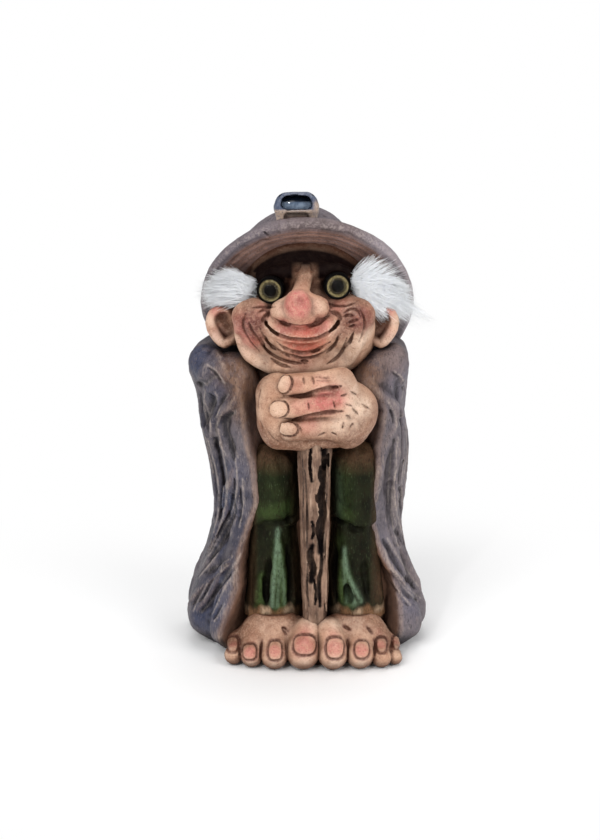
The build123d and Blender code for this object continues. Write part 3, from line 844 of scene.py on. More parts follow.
EAR_LOBES = {"left": HEAD + (-24.4, -3.4, -7.6), "right": HEAD + (22.0, -3.4, -7.6)}
EAR_TOP_OUT, EAR_LENGTH = 1.4, 6.6
EAR_LOW, EAR_HIGH, EAR_CELL = (11, 9, 6.5), (11, 10, 16.5), 0.25  # reach of its block from the lobe
EAR_RIM = ((-2.2, 0.6), (0.2, -0.9), (2.75, 2.0), (3.95, 5.3), (3.3, 8.0), (1.85, 9.0), (-0.6, 8.8))
EAR_RIM_AHEAD = -2.4
EAR_RIM_SHARES, EAR_RIM_RADII = (0, 0.2, 0.5, 1), (1.3, 1.6, 1.9, 1.4)
# bars from the lobe to the top, with the radius at each end
EAR_SHELL = ((-2.0, 1.2, 0.6), (-1.6, 1.2, -0.4), 2.9, 4.6)
EAR_HOLLOW = ((-1.2, -3.8, 2.0), (-1.0, -4.0, 0.0), 1.2, 2.3)
EAR_ROOT = ((-4.4, -2.0, 1.0), (-4.6, -1.0, -1.2), 1.5, 1.4)
# spots of paint: whether from the top, the place, a radius and a strength
EAR_TINTS = {
    "hole": (
        (False, (-1.4, -1.2, 1.6), 1.7, 1.0), (False, (-0.8, -1.2, 4.4), 2.2, 1.0),
        (True, (-0.6, -1.4, 0.2), 2.2, 0.9),
    ),
    "pink": ((True, (0.6, -3.0, 2.4), 2.4, 0.8), (False, (2.0, -2, 3), 3.0, 0.35)),
    "pale": ((False, (2.0, -3.6, 1.4), 2.6, 0.9), (True, (2.2, -3.6, 0), 2.4, 0.7)),
}


def make_ear(name):
    side = SIDES[name]
    lobe = EAR_LOBES[name]
    top = lobe + (side * EAR_TOP_OUT, 0, EAR_LENGTH)

    def beside(place, out, back, up):
        return place + (side * out, back, up)

    def bar(form, soft, cut=False):
        start, end, start_radius, end_radius = form
        clay.bone(beside(lobe, *start), beside(top, *end), start_radius, end_radius, soft, cut)

    clay = Clay(lobe - EAR_LOW, lobe + EAR_HIGH, EAR_CELL)
    bar(EAR_SHELL, 1)
    rim = curve([beside(lobe, out, EAR_RIM_AHEAD, up) for out, up in EAR_RIM])
    clay.rope(rim, np.interp(np.linspace(0, 1, len(rim)), EAR_RIM_SHARES, EAR_RIM_RADII), 0.8)
    bar(EAR_HOLLOW, 0.9, cut=True)
    bar(EAR_ROOT, 0.8)
    clay.roughen(amount=0.05, size=1.2, seed=21 + side)

    def paint(points):
        masks = {}
        for key, spots in EAR_TINTS.items():
            masks[key] = blob_mask(points, [
                (beside(top if from_top else lobe, *place), radius, strength)
                for from_top, place, radius, strength in spots
            ])
        hole = masks.pop("hole")
        back = unit((points[:, 1] - lobe[1] + 0.5) / 2.0) * 0.6
        return {**masks, "brown": most(0.95 * hole, back), "dark": hole * 0.35}

    clay_piece(f"{name}_ear", "skin_paint", skin, clay, paint)


# Eyes: glass domes over gold foil in black cups, turned as outlines of radius and height

DOME_STEPS, IRIS_STEPS = 18, 12
GLASS_BACK = ((EYE_RADIUS - 0.04, -0.25), (2.0, -0.28), (0.0, -0.28))
IRIS_INNER, IRIS_OUTER = 1.7, EYE_RADIUS - 0.05
IRIS_FRONT, IRIS_BACK, IRIS_DISH = -0.02, -0.45, 0.10
IRIS_DARK_OUTSIDE, IRIS_DARK_INSIDE = 2.98, 2.72
CUP_RADIUS = EYE_RADIUS + EYE_RIM
CUP = (
    (0.0, -0.04), (1.66, -0.04), (1.68, -0.06), (1.68, -0.5), (EYE_RADIUS + 0.02, -0.5),
    (EYE_RADIUS + 0.02, 0.1), (EYE_RADIUS + 0.12, 0.32), (EYE_RADIUS + 0.34, 0.36), (CUP_RADIUS - 0.05, 0.2),
    (CUP_RADIUS, -0.1), (CUP_RADIUS, -2.3), (0.8, -2.4), (0.8, -7.3), (0.0, -7.4),
)


def eye_axes(turn):
    angle = math.radians(turn)
    out = np.array((math.sin(angle), -math.cos(angle), 0.0))
    side = np.array((math.cos(angle), math.sin(angle), 0.0))
    return side, np.array((0.0, 0.0, 1.0)), out


def lathe(profile, place, turn, count=64):
    """Turns a closed outline of radius and height about the eye's axis. Its ends lie on the axis."""
    side, up, out = eye_axes(turn)
    points, faces = [], []
    rings = []
    for radius, height in profile:
        if radius < 1e-6:
            rings.append([len(points)])
            points.append(place + out * height)
            continue
        ring = []
        for number in range(count):
            angle = 2 * math.pi * number / count
            ring.append(len(points))
            points.append(place + out * height + radius * (side * math.cos(angle) + up * math.sin(angle)))
        rings.append(ring)
    for a, b in zip(rings, rings[1:]):
        for number in range(count):
            after = (number + 1) % count
            if len(a) == 1:
                faces.append((a[0], b[number], b[after]))
            elif len(b) == 1:
                faces.append((a[number], b[0], a[after]))
            else:
                faces.append((a[number], b[number], b[after], a[after]))
    return np.array(points), faces


def eye_glass():
    glass = Paint("eye_glass")
    glass.set(Base_Color=(1.0, 0.98, 0.94, 1.0), Transmission_Weight=1.0, IOR=1.13, Specular_IOR_Level=0.08)
    glass.feed(Roughness=glass.span(glass.noise(900.0, 2.0), 0.3, 0.8, 0.01, 0.06))
    # it casts no shadow on the foil
    clear = glass.add("ShaderNodeBsdfTransparent")
    glass.show(clear, glass.add("ShaderNodeLightPath").outputs["Is Shadow Ray"])
    return glass.material


def eye_gold():
    gold = Paint("eye_gold")
    rays = gold.noise(2600.0, 3.0)
    tone = gold.mix(gold.span(rays, 0.3, 0.7), (48, 41, 24), (154, 140, 96))
    tone = gold.mix(gold.mask("rim"), tone, (12, 9, 7))
    gold.feed(Base_Color=tone, Roughness=gold.span(rays, 0.3, 0.7, 0.28, 0.5))
    gold.set(Metallic=0.7)
    gold.bump(rays, 0.4, 0.0002)
    return gold.material


def eye_black():
    black = Paint("eye_black")
    dust = black.noise(1200.0, 3.0)
    tone = black.mix(black.span(dust, 0.4, 0.8), (6, 5, 5), (12, 10, 10))
    black.feed(Base_Color=tone, Roughness=black.span(dust, 0.3, 0.7, 0.5, 0.7))
    black.set(Specular_IOR_Level=0.04)
    return black.material


def glass_outline():
    ball = (EYE_RADIUS**2 + EYE_DOME**2) / (2 * EYE_DOME)
    opening = math.asin(EYE_RADIUS / ball)
    dome = [(0.0, EYE_DOME)]
    for number in range(1, DOME_STEPS + 1):
        angle = opening * number / DOME_STEPS
        dome.append((ball * math.sin(angle), EYE_DOME - ball + ball * math.cos(angle)))
    return dome + list(GLASS_BACK)


def iris_outline():
    ring = []
    for number in range(IRIS_STEPS + 1):
        share = number / IRIS_STEPS
        radius = IRIS_INNER + (IRIS_OUTER - IRIS_INNER) * share
        ring.append((radius, IRIS_FRONT - IRIS_DISH * math.sin(math.pi * share)))
    return ring + [(IRIS_OUTER, IRIS_BACK), (IRIS_INNER, IRIS_BACK), (IRIS_INNER, IRIS_FRONT)]


def make_eyes():
    glass, gold, black = eye_glass(), eye_gold(), eye_black()
    for name, (place, turn) in EYES.items():
        make_piece(f"{name}_eye_glass", "eye_glass", glass, *lathe(glass_outline(), place, turn))
        points, faces = lathe(iris_outline(), place, turn)
        radial = np.sqrt(((points - place) ** 2).sum(1))
        rim = unit((radial - IRIS_DARK_OUTSIDE) / 0.15) + 0.86 * unit((IRIS_DARK_INSIDE - radial) / 0.6)
        make_piece(f"{name}_eye_iris", "eye_gold", gold, points, faces, rim=rim)
        make_piece(f"{name}_eye_cup", "eye_black", black, *lathe(CUP, place, turn))


# Helmet

HELMET_LOW, HELMET_HIGH, HELMET_CELL = (-35, -21, 77), (35, 34, 141), 0.4
BRIM_RADIUS, BRIM_HALF, BRIM_DROOP = 32.5, 2.1, 1.6
DOME_RADIUS, DOME_RISE = 24.3, 4.4
BRIM_START = DOME_RADIUS - 4  # where the brim begins to droop
DOME_DENT, DENT_TURN, DENT_WIDTH = 2.8, 0.75, 0.42
SCOOP_RADIUS, SCOOP_MIDDLE, SCOOP_HALF = 29.0, -5.4, 4.6
RING_HEIGHT, RING_RATE = 0.06, 2.9
UNDER_RADIUS, INNER_RADIUS = 30.4, 23.6  # of the brown paint underneath and of the painted shade, black, within it
# dents in pixels, with width and depth
HELMET_DENTS = (
    (((262, 229), (266, 233), (270, 237)), 1.1, 0.8), (((254, 247), (262, 241), (270, 239)), 0.9, 0.4),
    (((300, 226), (304, 228)), 0.9, 0.4), (((266, 222), (271, 217), (275, 213)), 1.2, 0.6),
    (((323, 216), (326, 217)), 1.2, 0.6), (((345, 232), (352, 236)), 0.8, 0.3),
    (((232, 262), (238, 256)), 0.8, 0.3),
)


def make_helmet():
    clay = Clay(HELMET_LOW, HELMET_HIGH, HELMET_CELL)
    x, y, z = local(clay.axes(), HELMET, HELMET_TURN)
    across = np.sqrt(x * x + y * y)
    sheet = z + BRIM_DROOP * unit((across - BRIM_START) / (BRIM_RADIUS - BRIM_START))
    edge = BRIM_RADIUS - BRIM_HALF
    lip = np.sqrt(np.maximum(across - edge, 0) ** 2 + sheet**2) - BRIM_HALF
    brim = np.where(across < edge, np.abs(sheet) - BRIM_HALF, lip)
    spring = BRIM_HALF + DOME_RISE
    # the dome is flattened at the front, to the right of the lamp
    dent = DOME_DENT * np.exp(-((np.arctan2(x, -y) - DENT_TURN) / DENT_WIDTH) ** 2)
    dome = np.maximum(np.sqrt(across**2 + np.maximum(z - spring, 0) ** 2) - DOME_RADIUS + dent, -z)
    field = soft_min(brim, dome, 3.0)
    # the underside is scooped towards the rim and turned in rings
    hollow = np.sqrt((across / SCOOP_RADIUS) ** 2 + ((z - SCOOP_MIDDLE) / SCOOP_HALF) ** 2) - 1
    clay.fill(soft_max(field, -hollow * 4.0, 1.0) + RING_HEIGHT * np.cos(across * RING_RATE) * (z < 0))
    strokes = [
        (clay.groove(pixels, width, depth, soft=0.4), 0.25 * width) for pixels, width, depth in HELMET_DENTS
    ]
    clay.roughen(amount=0.28, size=7.0, seed=31)
    clay.roughen(amount=0.10, size=1.6, seed=32)

    def paint(points):
        side = points[:, 0]
        x, y, z = ((points - HELMET) @ HELMET_TURN).T
        wide = np.sqrt(x**2 + y**2)
        under = unit((-z - 1.2) / 1.2) * unit((UNDER_RADIUS - wide) / 1.4)
        blue = 0.6 * unit((-side - 4) / 12) + 0.4 * unit((side - 14) / 10)
        return {
            "brown": under * (0.75 + 0.25 * np.cos(wide * 5.0)),
            # painted shade under the brim, black near the head
            "dark": unit((INNER_RADIUS - wide) / 3.0) * unit((-z + 0.6) / 0.8),
            "blue": most(blue, 0.5 * unit((z - 3) / 3)) * (1 - under),
            "pale": 0.75 * unit((side - 13) / 9) * (1 - under),
            "ink": ink_mask(points, strokes),
        }

    clay_piece("helmet", "helmet_paint", helmet_paint, clay, paint)


# Lamp: x across, y back from its face and z up

LAMP = HELMET + HELMET_TURN @ np.array((-3.2, -34.9, 3.2))
LAMP_TURN = HELMET_TURN @ turned((46.0, 0, 0))
LAMP_LOW, LAMP_HIGH, LAMP_CELL = (-9.5, -6, -14), (9.5, 18, 8), 0.25
LENS_LOW, LENS_HIGH, LENS_CELL = (-7, -4, -8), (7, 12, 6), 0.2
LAMP_TAPER = 0.24  # the sides lean in towards the top
# half width, half height, corner, start, end and softness of edge
HOUSING = (6.4, 3.2, 2.9, 0.0, 13.0, 1.8)
RECESS = (4.4, 2.0, 1.3, -3.0, 4.4, 0.4)
LENS = (4.45, 1.95, 1.45, 0.0, 4.4, 0.3)
LENS_FACE, LENS_SWELL, LENS_HALF_WIDTH, LENS_HALF_HEIGHT = 3.2, 0.7, 4.6, 2.1
LAMP_LEG_OUT = 4.9
LAMP_LEG_MIDDLE, LAMP_LEG_HALF = (6.6, -5.4), (1.2, 5.6, 4.2)
WEB_MIDDLE, WEB_HALF = (7.0, -5.4), (5.0, 5.0, 3.6)


def lamp_block(axes, half_width, half_height, corner, start, end, edge):
    """A tapered block with round corners."""
    x, y, z = axes
    a = np.abs(x) - (half_width - corner) + LAMP_TAPER * z
    b = np.abs(z) - (half_height - corner)
    flat = np.sqrt(np.maximum(a, 0) ** 2 + np.maximum(b, 0) ** 2) + np.minimum(np.maximum(a, b), 0)
    return soft_max(flat - corner, np.maximum(start - y, y - end), edge)


def lamp_bar(axes, out, middle, half, soft):
    """An upright bar at a distance out from the lamp's middle."""
    x, y, z = axes
    flat = np.maximum(np.abs(x - out) - half[0], np.abs(y - middle[0]) - half[1])
    return soft_max(flat, np.abs(z - middle[1]) - half[2], soft)


def make_lamp_housing():
    clay = Clay(LAMP + LAMP_LOW, LAMP + LAMP_HIGH, LAMP_CELL)
    axes = local(clay.axes(), LAMP, LAMP_TURN)
    field = soft_max(lamp_block(axes, *HOUSING), -lamp_block(axes, *RECESS), 0.9)
    # two legs, with a web set back between them
    legs = [
        lamp_bar(axes, side * LAMP_LEG_OUT, LAMP_LEG_MIDDLE, LAMP_LEG_HALF, 0.8) for side in SIDES.values()
    ]
    field = soft_min(field, np.minimum(*legs), 1.4)
    clay.fill(soft_min(field, lamp_bar(axes, 0.0, WEB_MIDDLE, WEB_HALF, 0.6), 0.6))
    clay.roughen(amount=0.12, size=2.2, seed=41)

    def paint(points):
        x, y, z = ((points - LAMP) @ LAMP_TURN).T
        inside = (np.abs(x) < 5.2) & (np.abs(z) < 2.5) & (y > 0.5) & (y < 4.9)
        return {
            "cream": 0.9 * most(unit((-z - 1.9) / 0.6), unit((x - 4.6) / 1.2) * unit((1.2 - z) / 1.6)),
            "brown": unit((-z - 3.4) / 0.6) * unit((4.2 - np.abs(x)) / 0.8),
            # painted shade inside the recess, darkest towards its top
            "dark": np.where(inside, 0.7 + 0.3 * unit((z + 1.2) / 2.0), 0),
        }

    clay_piece("lamp_housing", "lamp_paint", lamp_paint, clay, paint)


def lamp_glass():
    lens = Paint("lamp_glass")
    cloud = lens.noise(420.0, 4.0)
    tone = lens.mix(lens.span(cloud, 0.3, 0.7), (70, 84, 104), (124, 138, 156))
    tone = lens.mix(lens.mask("shade"), tone, (12, 18, 28))
    lens.feed(Base_Color=tone, Roughness=lens.span(cloud, 0.3, 0.7, 0.06, 0.18))
    lens.set(Specular_IOR_Level=0.2)
    lens.bump(cloud, 0.2, 0.0004)
    return lens.material


def make_lamp_lens():
    clay = Clay(LAMP + LENS_LOW, LAMP + LENS_HIGH, LENS_CELL)
    axes = local(clay.axes(), LAMP, LAMP_TURN)
    x, y, z = axes
    dome = np.maximum(1 - (x / LENS_HALF_WIDTH) ** 2 - (z / LENS_HALF_HEIGHT) ** 2, 0)
    clay.fill(lamp_block(axes, *LENS))
    clay.keep(LENS_FACE - LENS_SWELL * dome - y, soft=0.2)

    def paint(points):
        return {"shade": unit((((points - LAMP) @ LAMP_TURN)[:, 2] - 0.1) / 0.5)}

    clay_piece("lamp_lens", "lamp_glass", lamp_glass(), clay, paint)


# Upper hand: its fingers lie to the left

HAND_LOW, HAND_HIGH, HAND_CELL = (-15, -38, 64), (23, -14, 96), 0.3
KNUCKLE = np.array((9.6, -31.8, 83.4))  # the middle finger's
WRIST, WRIST_RADIUS = np.array((13.4, -24.8, 79.8)), 6.2
FINGERS = ((3.6, 15.6, 6.7), (3.9, 18.0, 0.0), (3.7, 14.8, -6.9))  # radius, length and rise
FINGER_FALL, FINGER_BOW = (0.8, -1.2), (0, -0.3, 0.1)
PALM = ((12.4, -27.2, 76.5), (6.4, 5.6, 8.0), (0, 14, 0))
HAND_HEEL = ((13.5, -26.6, 81.6), (5.6, 5.2, 6.8), (0, -34, 0))
FINGER_GAPS = (
    ((290, 396), (303, 395.5), (318, 391.5), (341, 386)),
    ((287, 420.5), (303, 417.5), (320, 414), (343, 411)),
)
# pixel, half width, half height and tilt
FINGER_NAILS = (
    (284.8, 384.3, 7.0, 9.6, 18), (278.7, 409.2, 9.8, 8.6, -8), (288.6, 428.8, 9.6, 7.4, 5),
)
NAIL_SCALE, NAIL_THICKNESS, NAIL_SINK = 0.30, 0.9, (0, 0.7, 0)
HAND_CREASES = (
    ((303, 377), (304, 384)), ((316, 377), (329, 378)), ((317, 380.5), (330, 381)),
    ((312, 376), (314, 384)), ((331, 388), (336, 386), (339, 389)), ((308, 402), (309, 409)),
    ((333, 401), (335, 408)), ((345, 404), (352, 406)), ((350, 391), (357, 395)),
    ((352, 408), (358, 414)), ((344, 422), (342, 429)), ((350, 427), (354, 423)),
    ((331, 432), (337, 435)), ((362, 404), (370, 409)), ((340, 396), (347, 394)),
    ((318, 436), (326, 432)), ((300, 426), (301, 432)), ((346, 415), (350, 418)),
)
HAND_TINTS = {
    "pink": (
        (325, 401, 3.6, 1.0), (314, 404, 3.2, 0.7), (335, 398, 3.2, 0.9), (335, 389, 2.0, 0.8),
        (308, 424, 3.0, 0.5), (300, 408, 3.0, 0.4), (322, 386, 3.0, 0.4), (296, 386, 2.6, 0.3),
    ),
    "purple": (
        (334, 389, 1.5, 0.7), (294, 396, 1.6, 0.5), (290, 420, 1.8, 0.6), (318, 416, 1.4, 0.3),
        (330, 410, 1.4, 0.3),
    ),
    # the brown spots are painted shade, mostly along the hand's bottom and right edge
    "brown": (
        (332, 441, 5.0, 0.7), (312, 443, 4.0, 0.7), (350, 436, 4.0, 0.65), (366, 426, 4.0, 0.7),
        (376, 414, 3.2, 0.6), (300, 419, 2.2, 0.5), (300, 395, 2.0, 0.4), (362, 396, 2.6, 0.3),
        (345, 376, 3.0, 0.4),
    ),
    "pale": (
        (352, 398, 4.0, 0.8), (362, 408, 4.0, 0.9), (354, 418, 4.0, 0.8), (340, 425, 3.4, 0.7),
        # the last three pale spots, on the nails, are painted highlights
        (345, 384, 2.6, 0.6), (318, 428, 3.0, 0.4), (284, 384, 1.6, 0.4), (278, 409, 1.8, 0.4),
        (288, 429, 1.8, 0.4),
    ),
}


def hand_shade(points, depth, fade, height):
    """Painted shade, in brown, behind a depth and below a height."""
    return 0.9 * most(unit((points[:, 1] - depth) / fade), unit((height - points[:, 2]) / 5))


def make_upper_hand():
    clay = Clay(HAND_LOW, HAND_HIGH, HAND_CELL)
    for radius, length, rise in FINGERS:
        root = KNUCKLE + (0, 0, rise)
        tip = root + (-length, *FINGER_FALL)
        middle = (root + tip) / 2 + FINGER_BOW
        clay.rope((root, middle, tip), (radius + 0.2, radius - 0.2, radius - 0.3), soft=0.6)
        clay.bone(WRIST, root, WRIST_RADIUS, radius, soft=2.5)
    clay.ball(*PALM, soft=3)
    clay.ball(*HAND_HEEL, soft=3)
    strokes = [(clay.groove(pixels, width=1.8, depth=1.1, soft=0.5), 0.4) for pixels in FINGER_GAPS]
    for u, v, half_width, half_height, tilt in FINGER_NAILS:
        radii = (half_width * NAIL_SCALE, NAIL_THICKNESS, half_height * NAIL_SCALE)
        clay.ball(clay.trace([(u, v)])[0] + NAIL_SINK, radii, soft=0.6)
        ring = oval(u, v, half_width, half_height, tilt, square=2.3)
        strokes.append((clay.groove(ring, width=0.8, depth=0.5, soft=0.25, taper=False), 0.36))
    for pixels in HAND_CREASES:
        strokes.append((clay.groove(pixels, width=0.7, depth=0.4, soft=0.25), 0.2))
    clay.roughen(amount=0.06, size=1.3, seed=51)
    clay.roughen(amount=0.12, size=4.0, seed=52)

    def paint(points):
        masks = tint_masks(clay, points, HAND_TINTS)
        masks["brown"] = most(masks["brown"], hand_shade(points, -23, 4, 77.5))
        masks["ink"] = ink_mask(points, strokes)
        return masks

    clay_piece("upper_hand", "skin_paint", skin, clay, paint)


# Under hand: an edge and the palm show

UNDER_LOW, UNDER_HIGH = (-18, -36, 64), (16, -18, 94)
UNDER_HAND = np.array((-8.8, -26.4, 76.6))
UNDER_SIDE, UNDER_SIDE_RADII = ((0, 0, 0), (0, 0, 4), (0, 0, 8.5)), (6.4, 6.6, 6.2)
UNDER_THUMB, UNDER_THUMB_RADII = (-9.6, -26.0, 84.5), (5.2, 5.4, 5.6)
UNDER_PALM, UNDER_PALM_RADII = ((0, 0, -3.8), (8, -0.4, -4.0), (17, 0.4, -3.6)), (4.6, 4.7, 4.4)
UNDER_CREASES = (
    ((262, 385), (258, 398), (257, 412)), ((266, 430), (272, 438), (282, 444)), ((259, 420), (263, 430)),
)
# painted shade along the under hand's left edge and bottom, as spots of brown
UNDER_HAND_SHADE = (
    (258, 385, 4.0, 0.8), (255, 400, 3.2, 0.7), (256, 420, 3.6, 0.75), (263, 436, 4.4, 0.8),
    (280, 444, 4.6, 0.85), (300, 445, 4.6, 0.85), (320, 446, 4.6, 0.9),
)


def make_under_hand():
    clay = Clay(UNDER_LOW, UNDER_HIGH, HAND_CELL)
    clay.rope([UNDER_HAND + step for step in UNDER_SIDE], UNDER_SIDE_RADII, soft=1)
    clay.ball(UNDER_THUMB, UNDER_THUMB_RADII, soft=2)
    clay.rope([UNDER_HAND + step for step in UNDER_PALM], UNDER_PALM_RADII, soft=2)
    for pixels in UNDER_CREASES:
        clay.groove(pixels, width=0.9, depth=0.3, soft=0.4)
    clay.roughen(amount=0.14, size=3.0, seed=53)

    def paint(points):
        return {"brown": most(tint_mask(clay, points, UNDER_HAND_SHADE), hand_shade(points, -28, 5, 77.0))}

    clay_piece("under_hand", "skin_paint", skin, clay, paint)


# Staff

STAFF_LOW, STAFF_HIGH, STAFF_CELL = (-7, -34, -1), (11, -16, 78), 0.3
STAFF_AXIS, STAFF_HEIGHTS, STAFF_RADII = (2.0, -25), (-2, 20, 50, 71.0), (3.3, 5.1)
# cracks in pixels, with width and depth
CRACKS = (
    (((324, 447), (323, 458), (321, 472), (322, 484), (320, 497), (322, 512), (320, 528), (321, 551)),
     3.0, 2.6),
    (((322, 449), (326, 458), (324, 468)), 2.4, 2.0), (((311, 449), (311, 466), (312, 481)), 1.4, 1.3),
    (((312, 522), (314, 530), (312, 538)), 1.2, 1.0),
    (((312, 546), (310, 556), (313, 568), (311, 581)), 2.2, 1.7),
    (((314, 580), (316, 592), (315, 604)), 1.1, 0.9),
    (((321, 550), (322, 565), (319, 582), (320, 606)), 1.3, 1.0),
    (((328, 460), (328, 480), (326, 505)), 0.9, 0.7), (((305, 470), (307, 510), (307, 550)), 0.7, 0.5),
    (((302, 455), (303, 480), (303, 520)), 0.6, 0.4), (((308, 560), (307, 590), (309, 606)), 0.7, 0.5),
)
CRACK_INK, BLACK_CRACK = 0.43, 0.45  # half width of ink by width, and the least that is black


def make_staff():
    clay = Clay(STAFF_LOW, STAFF_HIGH, STAFF_CELL)
    path = curve([(*STAFF_AXIS, height) for height in STAFF_HEIGHTS], gap=4.0)
    clay.rope(path, np.linspace(*STAFF_RADII, len(path)), soft=0.3)
    clay.roughen(amount=0.42, size=(1.3, 1.3, 22.0), seed=61)
    clay.roughen(amount=0.30, size=(0.7, 0.7, 9.0), seed=62)
    strokes = [
        (clay.groove(pixels, width, depth, soft=0.3), CRACK_INK * width) for pixels, width, depth in CRACKS
    ]
    clay.roughen(amount=0.10, size=0.9, seed=63)
    clay.stand()

    def paint(points):
        foot = unit((14 - points[:, 2]) / 8)
        back = unit((points[:, 1] + 26.5) / 2.5)
        black = [stroke for stroke in strokes if stroke[1] > BLACK_CRACK]
        return {
            "brown": most(0.6 * foot, 0.9 * back),
            "dark": ink_mask(points, black),
            "ink": ink_mask(points, strokes),
        }

    clay_piece("staff", "staff_paint", staff_paint, clay, paint, hollow=0.3, proud=0.3)


# Trouser legs: pleats and valleys in pixels, streaks of paint with half width and strength

TROUSER_CELL = 0.3
TROUSER_HALF_BLOCK, TROUSER_BLOCK_Y, TROUSER_BLOCK_Z = 13, (-29, -8.5), (10, 70)
TROUSER_ROWS = (12, 27, 42.5, 42.6, 68.0)
TROUSER_HALF_DEPTHS = (9.0, 7.6, 6.8, 7.7, 7.6)
TROUSER_MIDDLE_Y, TROUSER_FOOT, TROUSER_TOP = -15.5, 12.2, 68
HEM_TOP, HEM_WORN, WAIST_SHADE = 17.6, 14.0, 58.5
TROUSERS = {
    "left": {
        "middle": -10.4,
        "half_widths": (9.8, 8.2, 7.2, 8.1, 8.4),
        "pleats": (
            ((278, 529), (275.5, 553), (273, 580), (272, 606)),
            ((279, 535), (279.5, 560), (283, 585), (286, 606)), ((262, 574), (260, 590), (259, 606)),
        ),
        "valleys": (
            ((270, 556), (267, 580), (266, 607)), ((287, 545), (290, 575), (291, 605)),
            ((258, 527), (270, 524), (283, 523), (297, 515)),
        ),
        "teal": (
            (((278, 530), (276, 553), (274, 580), (272, 606)), 0.8, 0.7),
            (((279, 545), (279, 570), (277, 606)), 0.7, 0.6),
            (((280, 555), (283, 580), (285, 604)), 0.7, 0.4),
        ),
        "green": (
            (((262, 576), (260, 605)), 1.2, 0.8), (((257, 592), (256, 606)), 0.9, 0.6),
            (((279, 560), (279, 585), (280, 606)), 2.2, 0.9), (((284, 580), (287, 606)), 1.6, 0.8),
            (((265, 513), (280, 510), (294, 506)), 3.0, 0.6), (((280, 545), (281, 575)), 2.4, 0.5),
            (((270, 470), (275, 495)), 4.0, 0.2),
        ),
    },
    "right": {
        "middle": 14.0,
        "half_widths": (9.8, 8.2, 6.9, 7.3, 8.2),
        "pleats": (
            ((343, 549), (342, 575), (342, 602)), ((344, 549), (347, 572), (355, 588), (362, 602)),
        ),
        "valleys": (
            ((347, 584), (350, 604)), ((335, 545), (334, 575), (336, 604)),
            ((330, 517), (340, 522), (354, 529), (362, 530)), ((364, 560), (368, 600)),
        ),
        "teal": (
            (((344, 549), (347, 572), (354, 588), (361, 601)), 0.8, 0.7),
            (((334, 462), (336, 490), (336, 512)), 2.0, 0.3),
            (((344, 556), (345, 580), (347, 602)), 0.7, 0.5), (((352, 590), (354, 602)), 1.4, 0.6),
        ),
        "green": (
            (((341, 570), (342, 601)), 1.6, 0.8), (((345, 575), (349, 602)), 2.0, 0.8),
            (((336, 505), (345, 514)), 3.0, 0.6), (((338, 540), (340, 560)), 2.4, 0.5),
            (((340, 470), (342, 500)), 4.0, 0.35),
        ),
    },
}


def make_leg(name):
    side = SIDES[name]
    form = TROUSERS[name]
    middle = form["middle"]
    low = (middle - TROUSER_HALF_BLOCK, TROUSER_BLOCK_Y[0], TROUSER_BLOCK_Z[0])
    high = (middle + TROUSER_HALF_BLOCK, TROUSER_BLOCK_Y[1], TROUSER_BLOCK_Z[1])
    clay = Clay(low, high, TROUSER_CELL)
    x, y, z = clay.axes()
    half_width = np.interp(z, TROUSER_ROWS, form["half_widths"])
    half_depth = np.interp(z, TROUSER_ROWS, TROUSER_HALF_DEPTHS)
    near = np.sqrt(((x - middle) / half_width) ** 2 + ((y - TROUSER_MIDDLE_Y) / half_depth) ** 2)
    field = (near - 1) * np.minimum(half_width, half_depth)
    clay.fill(soft_max(soft_max(field, TROUSER_FOOT - z, 0.6), z - TROUSER_TOP, 9.0))
    clay.melt(3)
    for pixels in form["pleats"]:
        clay.ridge(pixels, width=3.4, height=1.4, soft=0.9)
    for pixels in form["valleys"]:
        clay.groove(pixels, width=2.4, depth=1.3, soft=0.8)
    clay.roughen(amount=0.16, size=(1.1, 1.1, 3.0), seed=71 + side)
    clay.roughen(amount=0.40, size=(2.5, 2.5, 10.0), seed=74 + side)

    def paint(points):
        x, _, z = points.T
        ragged = 0.8 * np.sin(0.8 * x) + 0.4 * np.sin(2.1 * x + 1.0)
        hem = unit((HEM_TOP + ragged - z) / 1.6)
        worn = unit(np.sin(0.9 * x + 0.6) + 0.3) * hem * unit((z - HEM_WORN) / 1.5)
        waist = unit((z - WAIST_SHADE) / 6.0)
        flank = unit((np.abs(x - middle) - 4.6) / 3.0) * unit((z - HEM_WORN) / 6)
        return {
            "green": streak_mask(clay, points, form["green"]),
            "teal": streak_mask(clay, points, form["teal"]),
            "brown": most(0.95 * waist, 0.75 * flank),
            "tan": 0.9 * hem,
            "pale": 0.55 * worn,
        }

    clay_piece(f"{name}_trouser_leg", "trouser_paint", trouser_paint, clay, paint, hollow=0.3, proud=0.4)


# Feet: toes as place across and radius, nails as pixel, half width and half height

